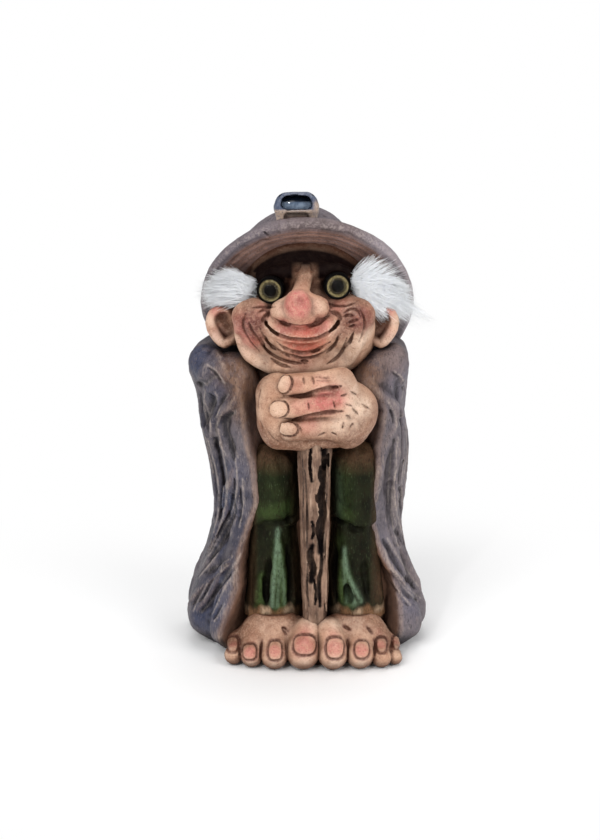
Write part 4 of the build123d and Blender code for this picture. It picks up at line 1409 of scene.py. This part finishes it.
FOOT_CELL, FOOT_TOP = 0.25, 17.0
TOE_FRONT, TOE_LIFT, TOE_LENGTH = -36.2, 0.7, 7.5
TOE_SWEEP = (0.0, 1.0, 3.0, 5.6)  # how far each toe ends behind the first
TOE_SPREAD, KNUCKLE_LIFT = 0.3, 2.2
TOE_PAD, TOE_PAD_SHIFT = np.array((1.03, 1.05, 1.02)), (0, 0.6, -0.4)
ANKLE, ANKLE_RADIUS = (-14, 8.0), 6.5
INSTEP, INSTEP_RADII = (-21.5, 7.0), (10.6, 7.4, 9.2)
ARCH_START, ARCH_END, ARCH_IN, ARCH_RADII = (-30.0, 7.2), (-26.6, 10.6), 1.4, (3.8, 4.4)
FEET = {
    "left": {
        "low": (-27.5, -39, -1),
        "high": (5.5, -8.5, 15),
        "toes": ((-1.55, 4.75), (-10.2, 3.9), (-17.2, 3.2), (-22.7, 2.7)),
        "nails": (
            (304.6, 645, 12.0, 10.6), (275.2, 650.5, 8.0, 10.4), (249.7, 652, 7.6, 8.6),
            (232.9, 644, 6.4, 8.4),
        ),
        "creases": (
            ((286, 634), (283, 628), (288, 631)), ((262, 641), (261, 655), (263, 664)),
            ((240, 646), (241, 660)),
        ),
        "pale": ((311, 620, 2.6, 0.7), (296, 622, 2.4, 0.4)),
    },
    "right": {
        "low": (0.5, -39, -1),
        "high": (31, -8.5, 15),
        "toes": ((7.55, 4.4), (15.8, 4.0), (22.4, 2.8), (26.6, 2.1)),
        "nails": (
            (335, 648, 9.8, 11.4), (361.8, 649.7, 8.0, 9.6), (381.6, 645, 6.0, 8.0),
            (396.6, 642, 4.4, 7.0),
        ),
        "creases": (
            ((344, 626), (350, 630)), ((367, 627), (372, 633)), ((347.5, 640), (348, 660)),
            ((374, 640), (375, 655)), ((391, 640), (391.5, 652)),
        ),
        "pale": ((322, 619, 2.6, 0.8), (336, 622, 2.6, 0.7), (354, 622, 2.6, 0.5), (384, 622, 2.6, 0.7)),
    },
}


def foot_clay(name):
    side = SIDES[name]
    form = FEET[name]
    leg = TROUSERS[name]["middle"]
    clay = Clay(form["low"], form["high"], FOOT_CELL)
    for number, (x, radius) in enumerate(form["toes"]):
        tip = np.array((x, TOE_FRONT + radius + TOE_SWEEP[number], radius + TOE_LIFT))
        knuckle = (x - side * TOE_SPREAD * number, tip[1] + TOE_LENGTH, radius + KNUCKLE_LIFT)
        clay.rope((tip, knuckle), (radius, radius * 0.94), soft=0.35)
        clay.bone(knuckle, (leg, *ANKLE), radius * 0.98, ANKLE_RADIUS, soft=2.6)
        clay.ball(tip + TOE_PAD_SHIFT, radius * TOE_PAD, soft=0.4)
    # the instep rises to the trousers and closes round the staff
    clay.ball((leg, *INSTEP), INSTEP_RADII, soft=2.5)
    inner = form["toes"][0][0]
    clay.bone((inner, *ARCH_START), (inner - side * ARCH_IN, *ARCH_END), *ARCH_RADII, soft=1.6)
    z = clay.axes()[2]
    clay.keep(np.maximum(-z, z - FOOT_TOP), soft=0.5)
    return clay


def make_foot(name):
    side = SIDES[name]
    form = FEET[name]
    clay = foot_clay(name)
    strokes, nails = [], []
    for u, v, half_width, half_height in form["nails"]:
        nails.append((clay.trace([(u, v)])[0], half_width))
        ring = oval(u, v, half_width, half_height, square=2.7)
        strokes.append((clay.groove(ring, width=0.9, depth=0.5, soft=0.3, taper=False), 0.24))
    for pixels in form["creases"]:
        strokes.append((clay.groove(pixels, width=0.9, depth=0.5, soft=0.3), 0.24))
    clay.roughen(amount=0.07, size=1.4, seed=81 + side)
    clay.roughen(amount=0.10, size=3.5, seed=84 + side)
    clay.stand()

    def paint(points):
        def by_nails(shift, scale, strength):
            return blob_mask(points, [(place + shift, scale * size, strength) for place, size in nails])

        # painted shade: browner and darker along the floor, and browner towards the back under the trousers
        under = unit((1.6 - points[:, 2]) / 1.6)
        back = unit((points[:, 1] + 31.0) / 6.0)
        # painted highlights on the nails, and paler spots below each nail
        light = most(by_nails((0, 0, 1.4), 0.12, 0.6), by_nails((0, -0.6, -4.0), 0.2, 0.75))
        return {
            "pale": most(light, tint_mask(clay, points, form["pale"])),
            "pink": most(by_nails((0, 0, 0), 0.27, 0.75), by_nails((0, 1.6, 3.4), 0.26, 0.5)),
            "brown": most(0.85 * under, 0.8 * back),
            "dark": 0.5 * under,
            "purple": 0.6 * ink_mask(points, [(line, 0.7) for line, _ in strokes]),
            "ink": 0.8 * ink_mask(points, strokes),
        }

    clay_piece(f"{name}_foot", "skin_paint", skin, clay, paint)


# Cloak

CLOAK_LOW, CLOAK_HIGH, CLOAK_CELL = (-41, -31, -1), (41, 35, 106), 0.45
CLOAK_STEPS = np.arange(0, 104.5, 0.5)  # heights between which its outlines are smoothed
COLLAR_HEIGHT, COLLAR_HALF_WIDTH, HEM_HALF_WIDTH, CLOAK_TOP = 103, 16, 31, 101.5
# outlines in the photograph: the row of pixels, and the place across
CLOAK_LEFT = (
    (345, 195), (358, 189.5), (372, 191), (390, 197.5), (420, 200), (450, 208), (490, 215), (525, 213),
    (550, 206), (580, 194), (605, 187.5), (618, 190),
)
CLOAK_RIGHT = (
    (345, 407), (360, 409), (385, 406.5), (410, 404), (440, 409), (465, 407), (500, 402), (525, 401),
    (548, 406), (575, 415), (603, 426), (618, 423),
)
# depths to the front and back and depth of the folds, by height
CLOAK_ROWS = (0, 6.5, 26.25, 46, 66.5, 87, 94, 103)
CLOAK_FRONT = (21, 27, 26.25, 25.5, 25.5, 22, 12, 4)
CLOAK_BACK = (28, 31, 28.5, 26, 26, 27, 24, 17)
CLOAK_FOLDS = (1.5, 1.6, 1.2, 0.9, 0.5, 0.1, 0, 0)
CLOAK_SQUARE = 2.3
# the open front: height and place across of its edges, and how far the lining slants in
LEFT_EDGE = (
    (0, -28), (9.5, -26.6), (22.5, -22), (29, -21.6), (36, -20), (43, -17.4), (50, -15), (61, -16),
    (72, -19), (84, -21.5), (90, -24), (104, -27),
)
RIGHT_EDGE = (
    (0, 31), (19.6, 31), (26, 28), (31.5, 24), (38, 21), (43, 19), (51.5, 19.5), (58, 21), (66, 22),
    (72, 25), (77, 26.8), (82, 24), (86, 21), (104, 21),
)
LINING = ((0, 9.0), (22, 6.0), (43, 2.0), (61, 4.0), (77, 7.0), (104, 8.0))
FRONT_EDGE, BACK_WALL = -24.0, -11.0
HEAD_HOLLOW_RADIUS, HELMET_HOLLOW_RADIUS, HELMET_HOLLOW_DEPTH = 19.6, 32.2, 1.8
# the collar closes up to the jaw, and the left shoulder is hunched: pixel and depth, radii and turn
SHOULDERS = (
    ((241, 374, -14), (4.6, 5.0, 7.5), (0, -30, 0)),
    ((371, 372, -14), (4.6, 5.0, 7.5), (0, 30, 0)),
    ((204, 363, -9), (4.6, 5.0, 5.6), None),
    ((216, 374, -15), (5.5, 4.0, 6.0), (0, 30, 0)),
    ((394, 366, -11), (4.6, 5.0, 7.0), None),
)
# carved lines in pixels: ridges with width and height, cuts with width, depth and half width of ink
LEFT_FOLDS = (
    ("ridge", ((204, 350), (216, 354), (224, 369), (234, 383)), 3.2, 1.0),
    ("ridge", ((238, 391), (235, 399), (223, 413), (217.5, 422), (217, 433), (222, 447)), 4.2, 1.5),
    ("cut", ((232, 413), (225, 422), (225, 433), (230, 447), (234, 459)), 2.4, 1.8, 0.7),
    ("cut", ((217, 417), (212.5, 430), (215, 443), (222, 457)), 1.6, 1.2),
    ("cut", ((211, 394), (213, 400), (207, 416), (203, 425)), 1.6, 1.0),
    ("cut", ((201, 394), (200, 407), (204, 426)), 1.4, 0.8),
    ("cut", ((198, 384), (203, 386), (208, 381), (214, 378)), 3.0, 1.4, 0.8),
    ("cut", ((217, 444), (221, 464), (223, 482), (222, 500), (219, 520)), 1.5, 1.0),
    ("ridge", ((233, 470), (227, 500), (227, 518), (216, 538), (208, 550)), 3.2, 1.2),
    ("cut", ((232, 494), (230, 520), (222, 538), (214, 550)), 2.6, 1.2, 0.4),
    ("ridge", ((242, 543), (233.5, 561), (226, 567), (215, 579), (199, 592), (189, 604)), 3.0, 1.2),
    ("cut", ((241, 550), (225, 575), (209, 601), (198, 614)), 2.0, 1.2),
    ("ridge", ((221, 571), (213, 591), (198, 609)), 2.2, 0.8),
    ("cut", ((209, 559), (213, 552), (216, 548)), 1.4, 0.8),
)
SCRATCHES = (
    ((215.7, 430), (219.8, 453), (224, 475), (224.8, 493), (219.8, 519.5), (209.8, 546), (200, 566)),
    ((233, 460), (234.7, 486), (229.7, 513), (223, 528)),
    ((205, 440), (211.5, 463), (215.7, 486), (215.7, 513), (210.7, 533)),
    ((229.7, 533), (213, 557.6), (197, 577.5)), ((225, 566), (213, 579), (202, 599), (191, 605)),
    ((235, 569), (223, 587.5), (210, 615)), ((200, 430), (206, 452), (211, 474)),
    ((226, 520), (216, 540), (206, 557)), ((240, 480), (241, 505), (237, 528)),
    ((205, 585), (196, 600), (191, 612)), ((222, 605), (212, 622)), ((205, 366), (214, 372), (222, 384)),
    ((202, 402), (207, 416), (208, 432)), ((226, 396), (219, 406), (214, 418)),
    ((394, 470), (389, 500), (394, 526)), ((402, 453), (399, 495), (405, 533), (415, 569)),
    ((390, 492), (389, 519.5), (395, 546)), ((382, 552), (388, 568), (400.6, 587.5), (415, 602)),
    ((388, 455), (386, 480), (385, 505)), ((398, 520), (404, 545), (412, 566)),
    ((407, 430), (407, 455), (405, 480)), ((385, 575), (396, 592), (408, 606)),
    ((392, 372), (400, 380), (405, 394)), ((385, 402), (392, 414), (394, 428)),
)
LEFT_NICK = ((205, 573), (214, 568))
RIGHT_FOLDS = (
    ("ridge", ((354, 382), (369, 387.5), (383, 397), (393.5, 405), (397.5, 416), (394, 430)), 3.6, 1.6),
    ("ridge", ((394, 430), (386, 442), (382, 458), (378, 480), (376, 500)), 3.0, 1.0),
    ("cut", ((401, 410), (402, 434), (403, 456), (399, 480)), 1.5, 1.0),
    ("cut", ((394, 440), (392, 462), (390, 491), (394, 520), (402, 546)), 1.6, 1.0),
    ("cut", ((405, 450), (401, 486), (403, 526), (411, 553)), 1.4, 0.9),
    ("ridge", ((398, 545), (410, 570), (420, 590)), 3.0, 0.9),
    ("cut", ((383, 540), (389, 551), (402, 571), (414, 588)), 1.8, 1.2, 0.45),
    ("ridge", ((377, 540), (387, 562), (400, 579), (407, 590)), 2.8, 1.0),
    ("cut", ((396, 380), (399, 392), (398, 400)), 1.4, 0.8),
    ("cut", ((392, 575), (404, 590), (416, 600)), 1.4, 0.8),
)
CUT_LIGHT, SCRATCH_LIGHT = (4.0, -2.0), (2.6, -1.0)  # pixels from a line to the light streak beside it
CLOAK_TINTS = {
    "brown": (
        (236, 372, 5.0, 1.0), (246, 392, 5.0, 1.0), (228, 352, 4.0, 0.7), (372, 378, 5.0, 1.0),
        (362, 388, 4.0, 1.0), (388, 360, 4.5, 0.8), (398, 350, 3.6, 0.6), (374, 392, 4.0, 0.7),
        (245, 410, 4.0, 0.8),
    ),
    "blue": (
        (203, 352, 4.5, 0.9), (196, 362, 4.5, 0.8), (216, 392, 4.0, 0.5), (399, 385, 6.0, 0.9),
        (404, 410, 5.0, 0.6), (229, 505, 6.0, 0.95), (222, 540, 5.0, 0.7), (215, 605, 7.0, 0.85),
        (205, 618, 5.0, 0.8), (222, 580, 5.0, 0.7), (412, 598, 6.0, 0.95), (398, 575, 5.0, 0.8),
        (384, 548, 4.0, 0.7), (235, 470, 4.0, 0.5),
    ),
}


def cloak_gap(x, y, z):
    """How far a point lies inside the open front, from its left and from its right edge."""
    slant = np.interp(z, *zip(*LINING)) * unit((y - FRONT_EDGE) / (BACK_WALL - FRONT_EDGE))
    left = np.interp(z, *zip(*LEFT_EDGE)) + slant
    right = np.interp(z, *zip(*RIGHT_EDGE)) - slant
    return x - left, right - x


def by_height(z, heights, values, passes=12):
    """Values at heights, with the corners between them smoothed."""
    line = np.interp(CLOAK_STEPS, heights, values)
    for _ in range(passes):
        line[1:-1] = (line[:-2] + 2 * line[1:-1] + line[2:]) / 4
    return np.interp(z, CLOAK_STEPS, line)


def cloak_outline(z, pixels, side):
    places = [spot(u, v, 0.0) for v, u in reversed(pixels)]
    heights = [0, *(place[2] for place in places), COLLAR_HEIGHT]
    return by_height(
        z, heights, [side * HEM_HALF_WIDTH, *(place[0] for place in places), side * COLLAR_HALF_WIDTH]
    )


def cloak_field(x, y, z):
    """Distances to the draped form, before it is carved."""
    left, right = cloak_outline(z, CLOAK_LEFT, -1), cloak_outline(z, CLOAK_RIGHT, 1)
    half_width, shift = (right - left) / 2, (right + left) / 2
    front = by_height(z, CLOAK_ROWS, CLOAK_FRONT, 20)
    back = by_height(z, CLOAK_ROWS, CLOAK_BACK, 30)
    fold = by_height(z, CLOAK_ROWS, CLOAK_FOLDS)
    across = (x - shift) / half_width
    ahead = y / np.where(y > 0, back, front)
    near = (np.abs(across) ** CLOAK_SQUARE + np.abs(ahead) ** CLOAK_SQUARE) ** (1 / CLOAK_SQUARE)
    radius = np.sqrt((x - shift) ** 2 + y**2) + 1e-3
    # folds hang in front and behind and fade towards the flanks
    angle = np.arctan2(ahead, across)
    wave = np.cos(11 * angle + 0.35 * np.sin(z / 17.0)) + 0.45 * np.cos(17 * angle + 1.3 + z / 40.0)
    hang = fold * wave * unit(near) * np.clip(np.abs(ahead) * 3 - 0.3, 0.15, 1)
    field = radius * (1 - 1 / np.maximum(near, 0.05)) - hang
    field = soft_max(field, z - CLOAK_TOP, 5.0)
    # open front
    from_left, from_right = cloak_gap(x, y, z)
    gap = np.maximum(np.maximum(-from_left, -from_right), y - BACK_WALL)
    field = soft_max(field, -gap, 2.4)
    # hollows for the head and the helmet
    skull = np.sqrt((x - SKULL[0]) ** 2 + (y - SKULL[1]) ** 2 + (z - SKULL[2]) ** 2) - HEAD_HOLLOW_RADIUS
    field = soft_max(field, -skull, 0.6)
    hx, hy, hz = local((x, y, z), HELMET, HELMET_TURN)
    brim = np.maximum(np.sqrt(hx * hx + hy * hy) - HELMET_HOLLOW_RADIUS, -hz - HELMET_HOLLOW_DEPTH)
    return soft_max(field, -brim, 0.8)


def carve_cloak(clay):
    """Carves the folds and gives the lines of ink, the light streaks beside them and the ridges."""
    strokes, light, ridges = [], [], []

    def streak(pixels, shift, half_width, strength):
        light.append(([(u + shift[0], v + shift[1]) for u, v in pixels], half_width, strength))

    def ridge(pixels, width, height):
        ridges.append((clay.ridge(pixels, width, height, soft=1.2), 0.7))

    def cut(pixels, width, depth, ink=0.4):
        strokes.append((clay.groove(pixels, 1.5 * width, 0.75 * depth, soft=1.1), ink))
        streak(pixels, CUT_LIGHT, 0.32, 0.65)

    def scratch(pixels):
        strokes.append((clay.groove(pixels, width=0.9, depth=0.5, soft=0.3), 0.3))
        streak(pixels, SCRATCH_LIGHT, 0.28, 0.75)

    tools = {"ridge": ridge, "cut": cut}
    for tool, *fold in LEFT_FOLDS:
        tools[tool](*fold)
    for pixels in SCRATCHES:
        scratch(pixels)
    cut(LEFT_NICK, width=1.2, depth=0.6)
    for tool, *fold in RIGHT_FOLDS:
        tools[tool](*fold)
    return strokes, light, ridges


def make_cloak():
    clay = Clay(CLOAK_LOW, CLOAK_HIGH, CLOAK_CELL)
    clay.fill(cloak_field(*clay.axes()))
    for place, radii, turn in SHOULDERS:
        clay.ball(spot(*place), radii, turn, soft=3)
    strokes, light, ridges = carve_cloak(clay)
    clay.roughen(amount=0.35, size=(5.0, 5.0, 12.0), seed=91)
    clay.roughen(amount=0.16, size=1.7, seed=92)
    clay.stand()

    def paint(points):
        x, y, z = points.T
        inner = np.minimum(*cloak_gap(x, y, z))
        inside = unit((inner + 0.9) / 1.4) * (y < 0)
        wall = unit((y + 13.0) / 1.5) * (inner > 0) * (y < -6)
        rim = unit(1 - np.abs(inner + 1.2) / 1.2) * (y < -8) * (z < 88)
        tints = tint_masks(clay, points, CLOAK_TINTS)
        return {
            "blue": tints["blue"] * (1 - 0.8 * inside),
            "brown": most(inside * 0.95, tints["brown"]),
            "lining": 0.75 * inside * np.clip((86 - z) / 50, 0.25, 1),
            "pale": 0.55 * unit((x - 19) / 6) * (1 - inside),
            "light": streak_mask(clay, points, light) * (1 - inside),
            "tan": most(0.6 * rim, 0.2 * ink_mask(points, ridges)),
            # painted shade on the back wall of the open front, deeper higher up
            "dark": 0.4 * wall * unit((z - 20) / 20),
            "ink": 0.9 * ink_mask(points, strokes),
        }

    clay_piece("cloak", "cloak_paint", cloak_paint, clay, paint, hollow=0.24, proud=0.35)


# Fur

FUR_CLUMPS = 80
FUR_SEGMENTS, FUR_SIDES = 5, 3
FUR_RADIUS = 0.07
FUR_GRAIN = (0.3, 1, 0.2)  # a direction across which the hairs' corners are laid out
ROOT_SPREAD = np.array((1.4, 1.4, 1))
CLUMP_SPREAD, TIP_SPREAD = np.array((1.4, 2.4, 0.9)), np.array((1, 2, 0.8))
# tufts: seed, roots as pixel and depth, and locks with their tips, number of hairs and shortest share
FUR = {
    "left_fur": (
        101,
        ((252, 283, -15), (250, 290, -17), (248, 297, -17)),
        (
            (((212, 272, -8), (199, 283, -6), (198, 294, -6), (201, 306, -8)), 2700, 0.5),
            (((222, 266, -12), (208, 270, -8), (200, 310, -8), (222, 312, -12)), 500, 0.6),
        ),
    ),
    "right_fur": (
        102,
        ((354, 275, -15), (356, 284, -17), (359, 296, -17)),
        (
            (((404, 280, -8), (415, 290, -5), (421, 306, -4), (414, 318, -6), (396, 320, -10)), 4200, 0.45),
            (((376, 252, -14), (392, 257, -11), (404, 264, -9), (410, 274, -7)), 260, 0.6),
            (((428, 316, -4), (436, 326, -4), (400, 330, -9), (380, 322, -13)), 350, 0.7),
        ),
    ),
}


def along(line, share):
    """The place at this share of a line."""
    place = share * (len(line) - 1)
    cell = min(int(place), len(line) - 2)
    return line[cell] + (line[cell + 1] - line[cell]) * (place - cell)


def add_hair(points, faces, path, side_way):
    """One tapering hair along a path."""
    way = path[-1] - path[0]
    first = np.cross(way, side_way)
    first /= np.linalg.norm(first)
    second = np.cross(way, first)
    second /= np.linalg.norm(second)
    start = len(points)
    for step in range(FUR_SEGMENTS):
        radius = FUR_RADIUS * (1 - 0.75 * step / FUR_SEGMENTS)
        for corner in range(FUR_SIDES):
            angle = 2 * math.pi * corner / FUR_SIDES
            points.append(path[step] + radius * (first * math.cos(angle) + second * math.sin(angle)))
    points.append(path[FUR_SEGMENTS])
    for step in range(FUR_SEGMENTS - 1):
        for corner in range(FUR_SIDES):
            a = start + step * FUR_SIDES + corner
            b = start + step * FUR_SIDES + (corner + 1) % FUR_SIDES
            faces.append((a, a + FUR_SIDES, b + FUR_SIDES, b))
    last = start + (FUR_SEGMENTS - 1) * FUR_SIDES
    for corner in range(FUR_SIDES):
        faces.append((last + corner, start + FUR_SEGMENTS * FUR_SIDES, last + (corner + 1) % FUR_SIDES))
    faces.append(tuple(start + corner for corner in range(FUR_SIDES)))


def make_fur(name, material):
    """A tuft of fine hair, in clumps."""
    seed, roots, locks = FUR[name]
    random = np.random.default_rng(seed)
    root_line = [spot(*place) for place in roots]
    times = np.linspace(0, 1, FUR_SEGMENTS + 1)[:, None]
    points, faces = [], []
    for tips, count, shortest in locks:
        tip_line = [spot(*place) for place in tips]
        clump_along = random.uniform(0, 1, FUR_CLUMPS)
        clump_off = random.normal(0, 1, (FUR_CLUMPS, 3))
        clump_length = random.uniform(0.82, 1.06, FUR_CLUMPS)
        for _ in range(count):
            clump = random.integers(FUR_CLUMPS)
            share = unit(clump_along[clump] + random.normal(0, 0.06))
            root = along(root_line, share) + random.normal(0, 0.7, 3) * ROOT_SPREAD
            tip = along(tip_line, share) + 0.6 * clump_off[clump] * CLUMP_SPREAD
            tip = tip + random.normal(0, 0.6, 3) * TIP_SPREAD
            length = clump_length[clump] * (shortest + (1 - shortest) * math.sqrt(random.uniform()))
            root = root + (tip - root) * 0.3 * random.uniform() ** 2
            tip = root + (tip - root) * length
            bow = np.array((0, -random.uniform(0.5, 4.0), random.uniform(0.0, 2.2)))
            middle = (root + tip) / 2 + bow
            path = (1 - times) ** 2 * root + 2 * times * (1 - times) * middle + times**2 * tip
            path += 0.2 * np.sin(times * 7 + random.uniform(0, 6)) * times * random.normal(0, 1, 3)
            add_hair(points, faces, path, FUR_GRAIN)
    make_piece(name, "fur", material, points, faces)


def fur_paint():
    paint = Paint("fur")
    strand = paint.noise(900.0, 2.0)
    tone = paint.mix(paint.span(strand, 0.3, 0.7), (247, 250, 255), (252, 254, 255))
    paint.feed(Base_Color=tone, Roughness=paint.span(strand, 0.3, 0.7, 0.42, 0.6))
    paint.set(Sheen_Weight=1.0, Sheen_Roughness=0.4, Specular_IOR_Level=0.5)
    return paint.material


# Stage and light, in metres

FLOOR_HALF = 3.0
FLOOR_FADE = (0.05, 0.16)  # distances between which the floor fades to white
AIM = Vector((0, 0, 0.07))
WHITE = (1, 1, 1, 1)
STUDIO_LIGHT, BACKDROP_LIGHT = 0.4, 1.0
# place, size and power
LIGHTS = {
    "key": ((-0.55, -0.95, 1.05), 1.0, 10.2),
    "fill": ((0.85, -0.85, 0.7), 1.0, 8.2),
    "top": ((0.1, 0.4, 1.3), 1.0, 6.0),
    "spark": ((-0.3, -0.9, 0.55), 0.05, 1.4),
}


def make_floor():
    mesh = bpy.data.meshes.new("floor")
    corners = [(FLOOR_HALF * x, FLOOR_HALF * y, 0) for x, y in ((-1, -1), (1, -1), (1, 1), (-1, 1))]
    mesh.from_pydata(corners, [], [(0, 1, 2, 3)])
    floor = bpy.data.objects.new("floor", mesh)
    bpy.context.collection.objects.link(floor)
    paint = Paint("floor")
    paint.set(Base_Color=(0.95, 0.95, 0.95, 1.0), Roughness=0.9)
    # away from the figure the floor fades to the white of the backdrop, to the eye only
    away = paint.add("ShaderNodeVectorMath", operation="LENGTH")
    paint.link(paint.place, away.inputs[0])
    seen = paint.add("ShaderNodeLightPath").outputs["Is Camera Ray"]
    share = paint.times(paint.span(away.outputs["Value"], *FLOOR_FADE), seen)
    paint.show(paint.add("ShaderNodeEmission"), share)
    mesh.materials.append(paint.material)


def make_studio():
    """A white backdrop to the eye, and a dimmer one as light."""
    world = bpy.data.worlds.new("studio")
    bpy.context.scene.world = world
    world.use_nodes = True
    tree = world.node_tree
    lit = tree.nodes["Background"]
    backdrop = tree.nodes.new("ShaderNodeBackground")
    for node, strength in ((lit, STUDIO_LIGHT), (backdrop, BACKDROP_LIGHT)):
        node.inputs["Color"].default_value = WHITE
        node.inputs["Strength"].default_value = strength
    path = tree.nodes.new("ShaderNodeLightPath")
    both = tree.nodes.new("ShaderNodeMixShader")
    tree.links.new(path.outputs["Is Camera Ray"], both.inputs[0])
    tree.links.new(lit.outputs[0], both.inputs[1])
    tree.links.new(backdrop.outputs[0], both.inputs[2])
    tree.links.new(both.outputs[0], tree.nodes["World Output"].inputs["Surface"])


def make_light(name, place, size, power):
    data = bpy.data.lights.new(name, "AREA")
    data.shape = "DISK"
    data.size = size
    data.energy = power
    light = bpy.data.objects.new(name, data)
    light.location = place
    light.rotation_euler = (AIM - Vector(place)).to_track_quat("-Z", "Y").to_euler()
    bpy.context.collection.objects.link(light)


# Everything, in order

make_camera()
make_head()
for name in SIDES:
    make_ear(name)
make_eyes()
make_helmet()
make_lamp_housing()
make_lamp_lens()
make_upper_hand()
make_under_hand()
make_staff()
for name in SIDES:
    make_leg(name)
for name in SIDES:
    make_foot(name)
make_cloak()
fur = fur_paint()
for name in FUR:
    make_fur(name, fur)
make_floor()
make_studio()
for name, light in LIGHTS.items():
    make_light(name, *light)
bpy.context.scene.view_settings.view_transform = "Standard"
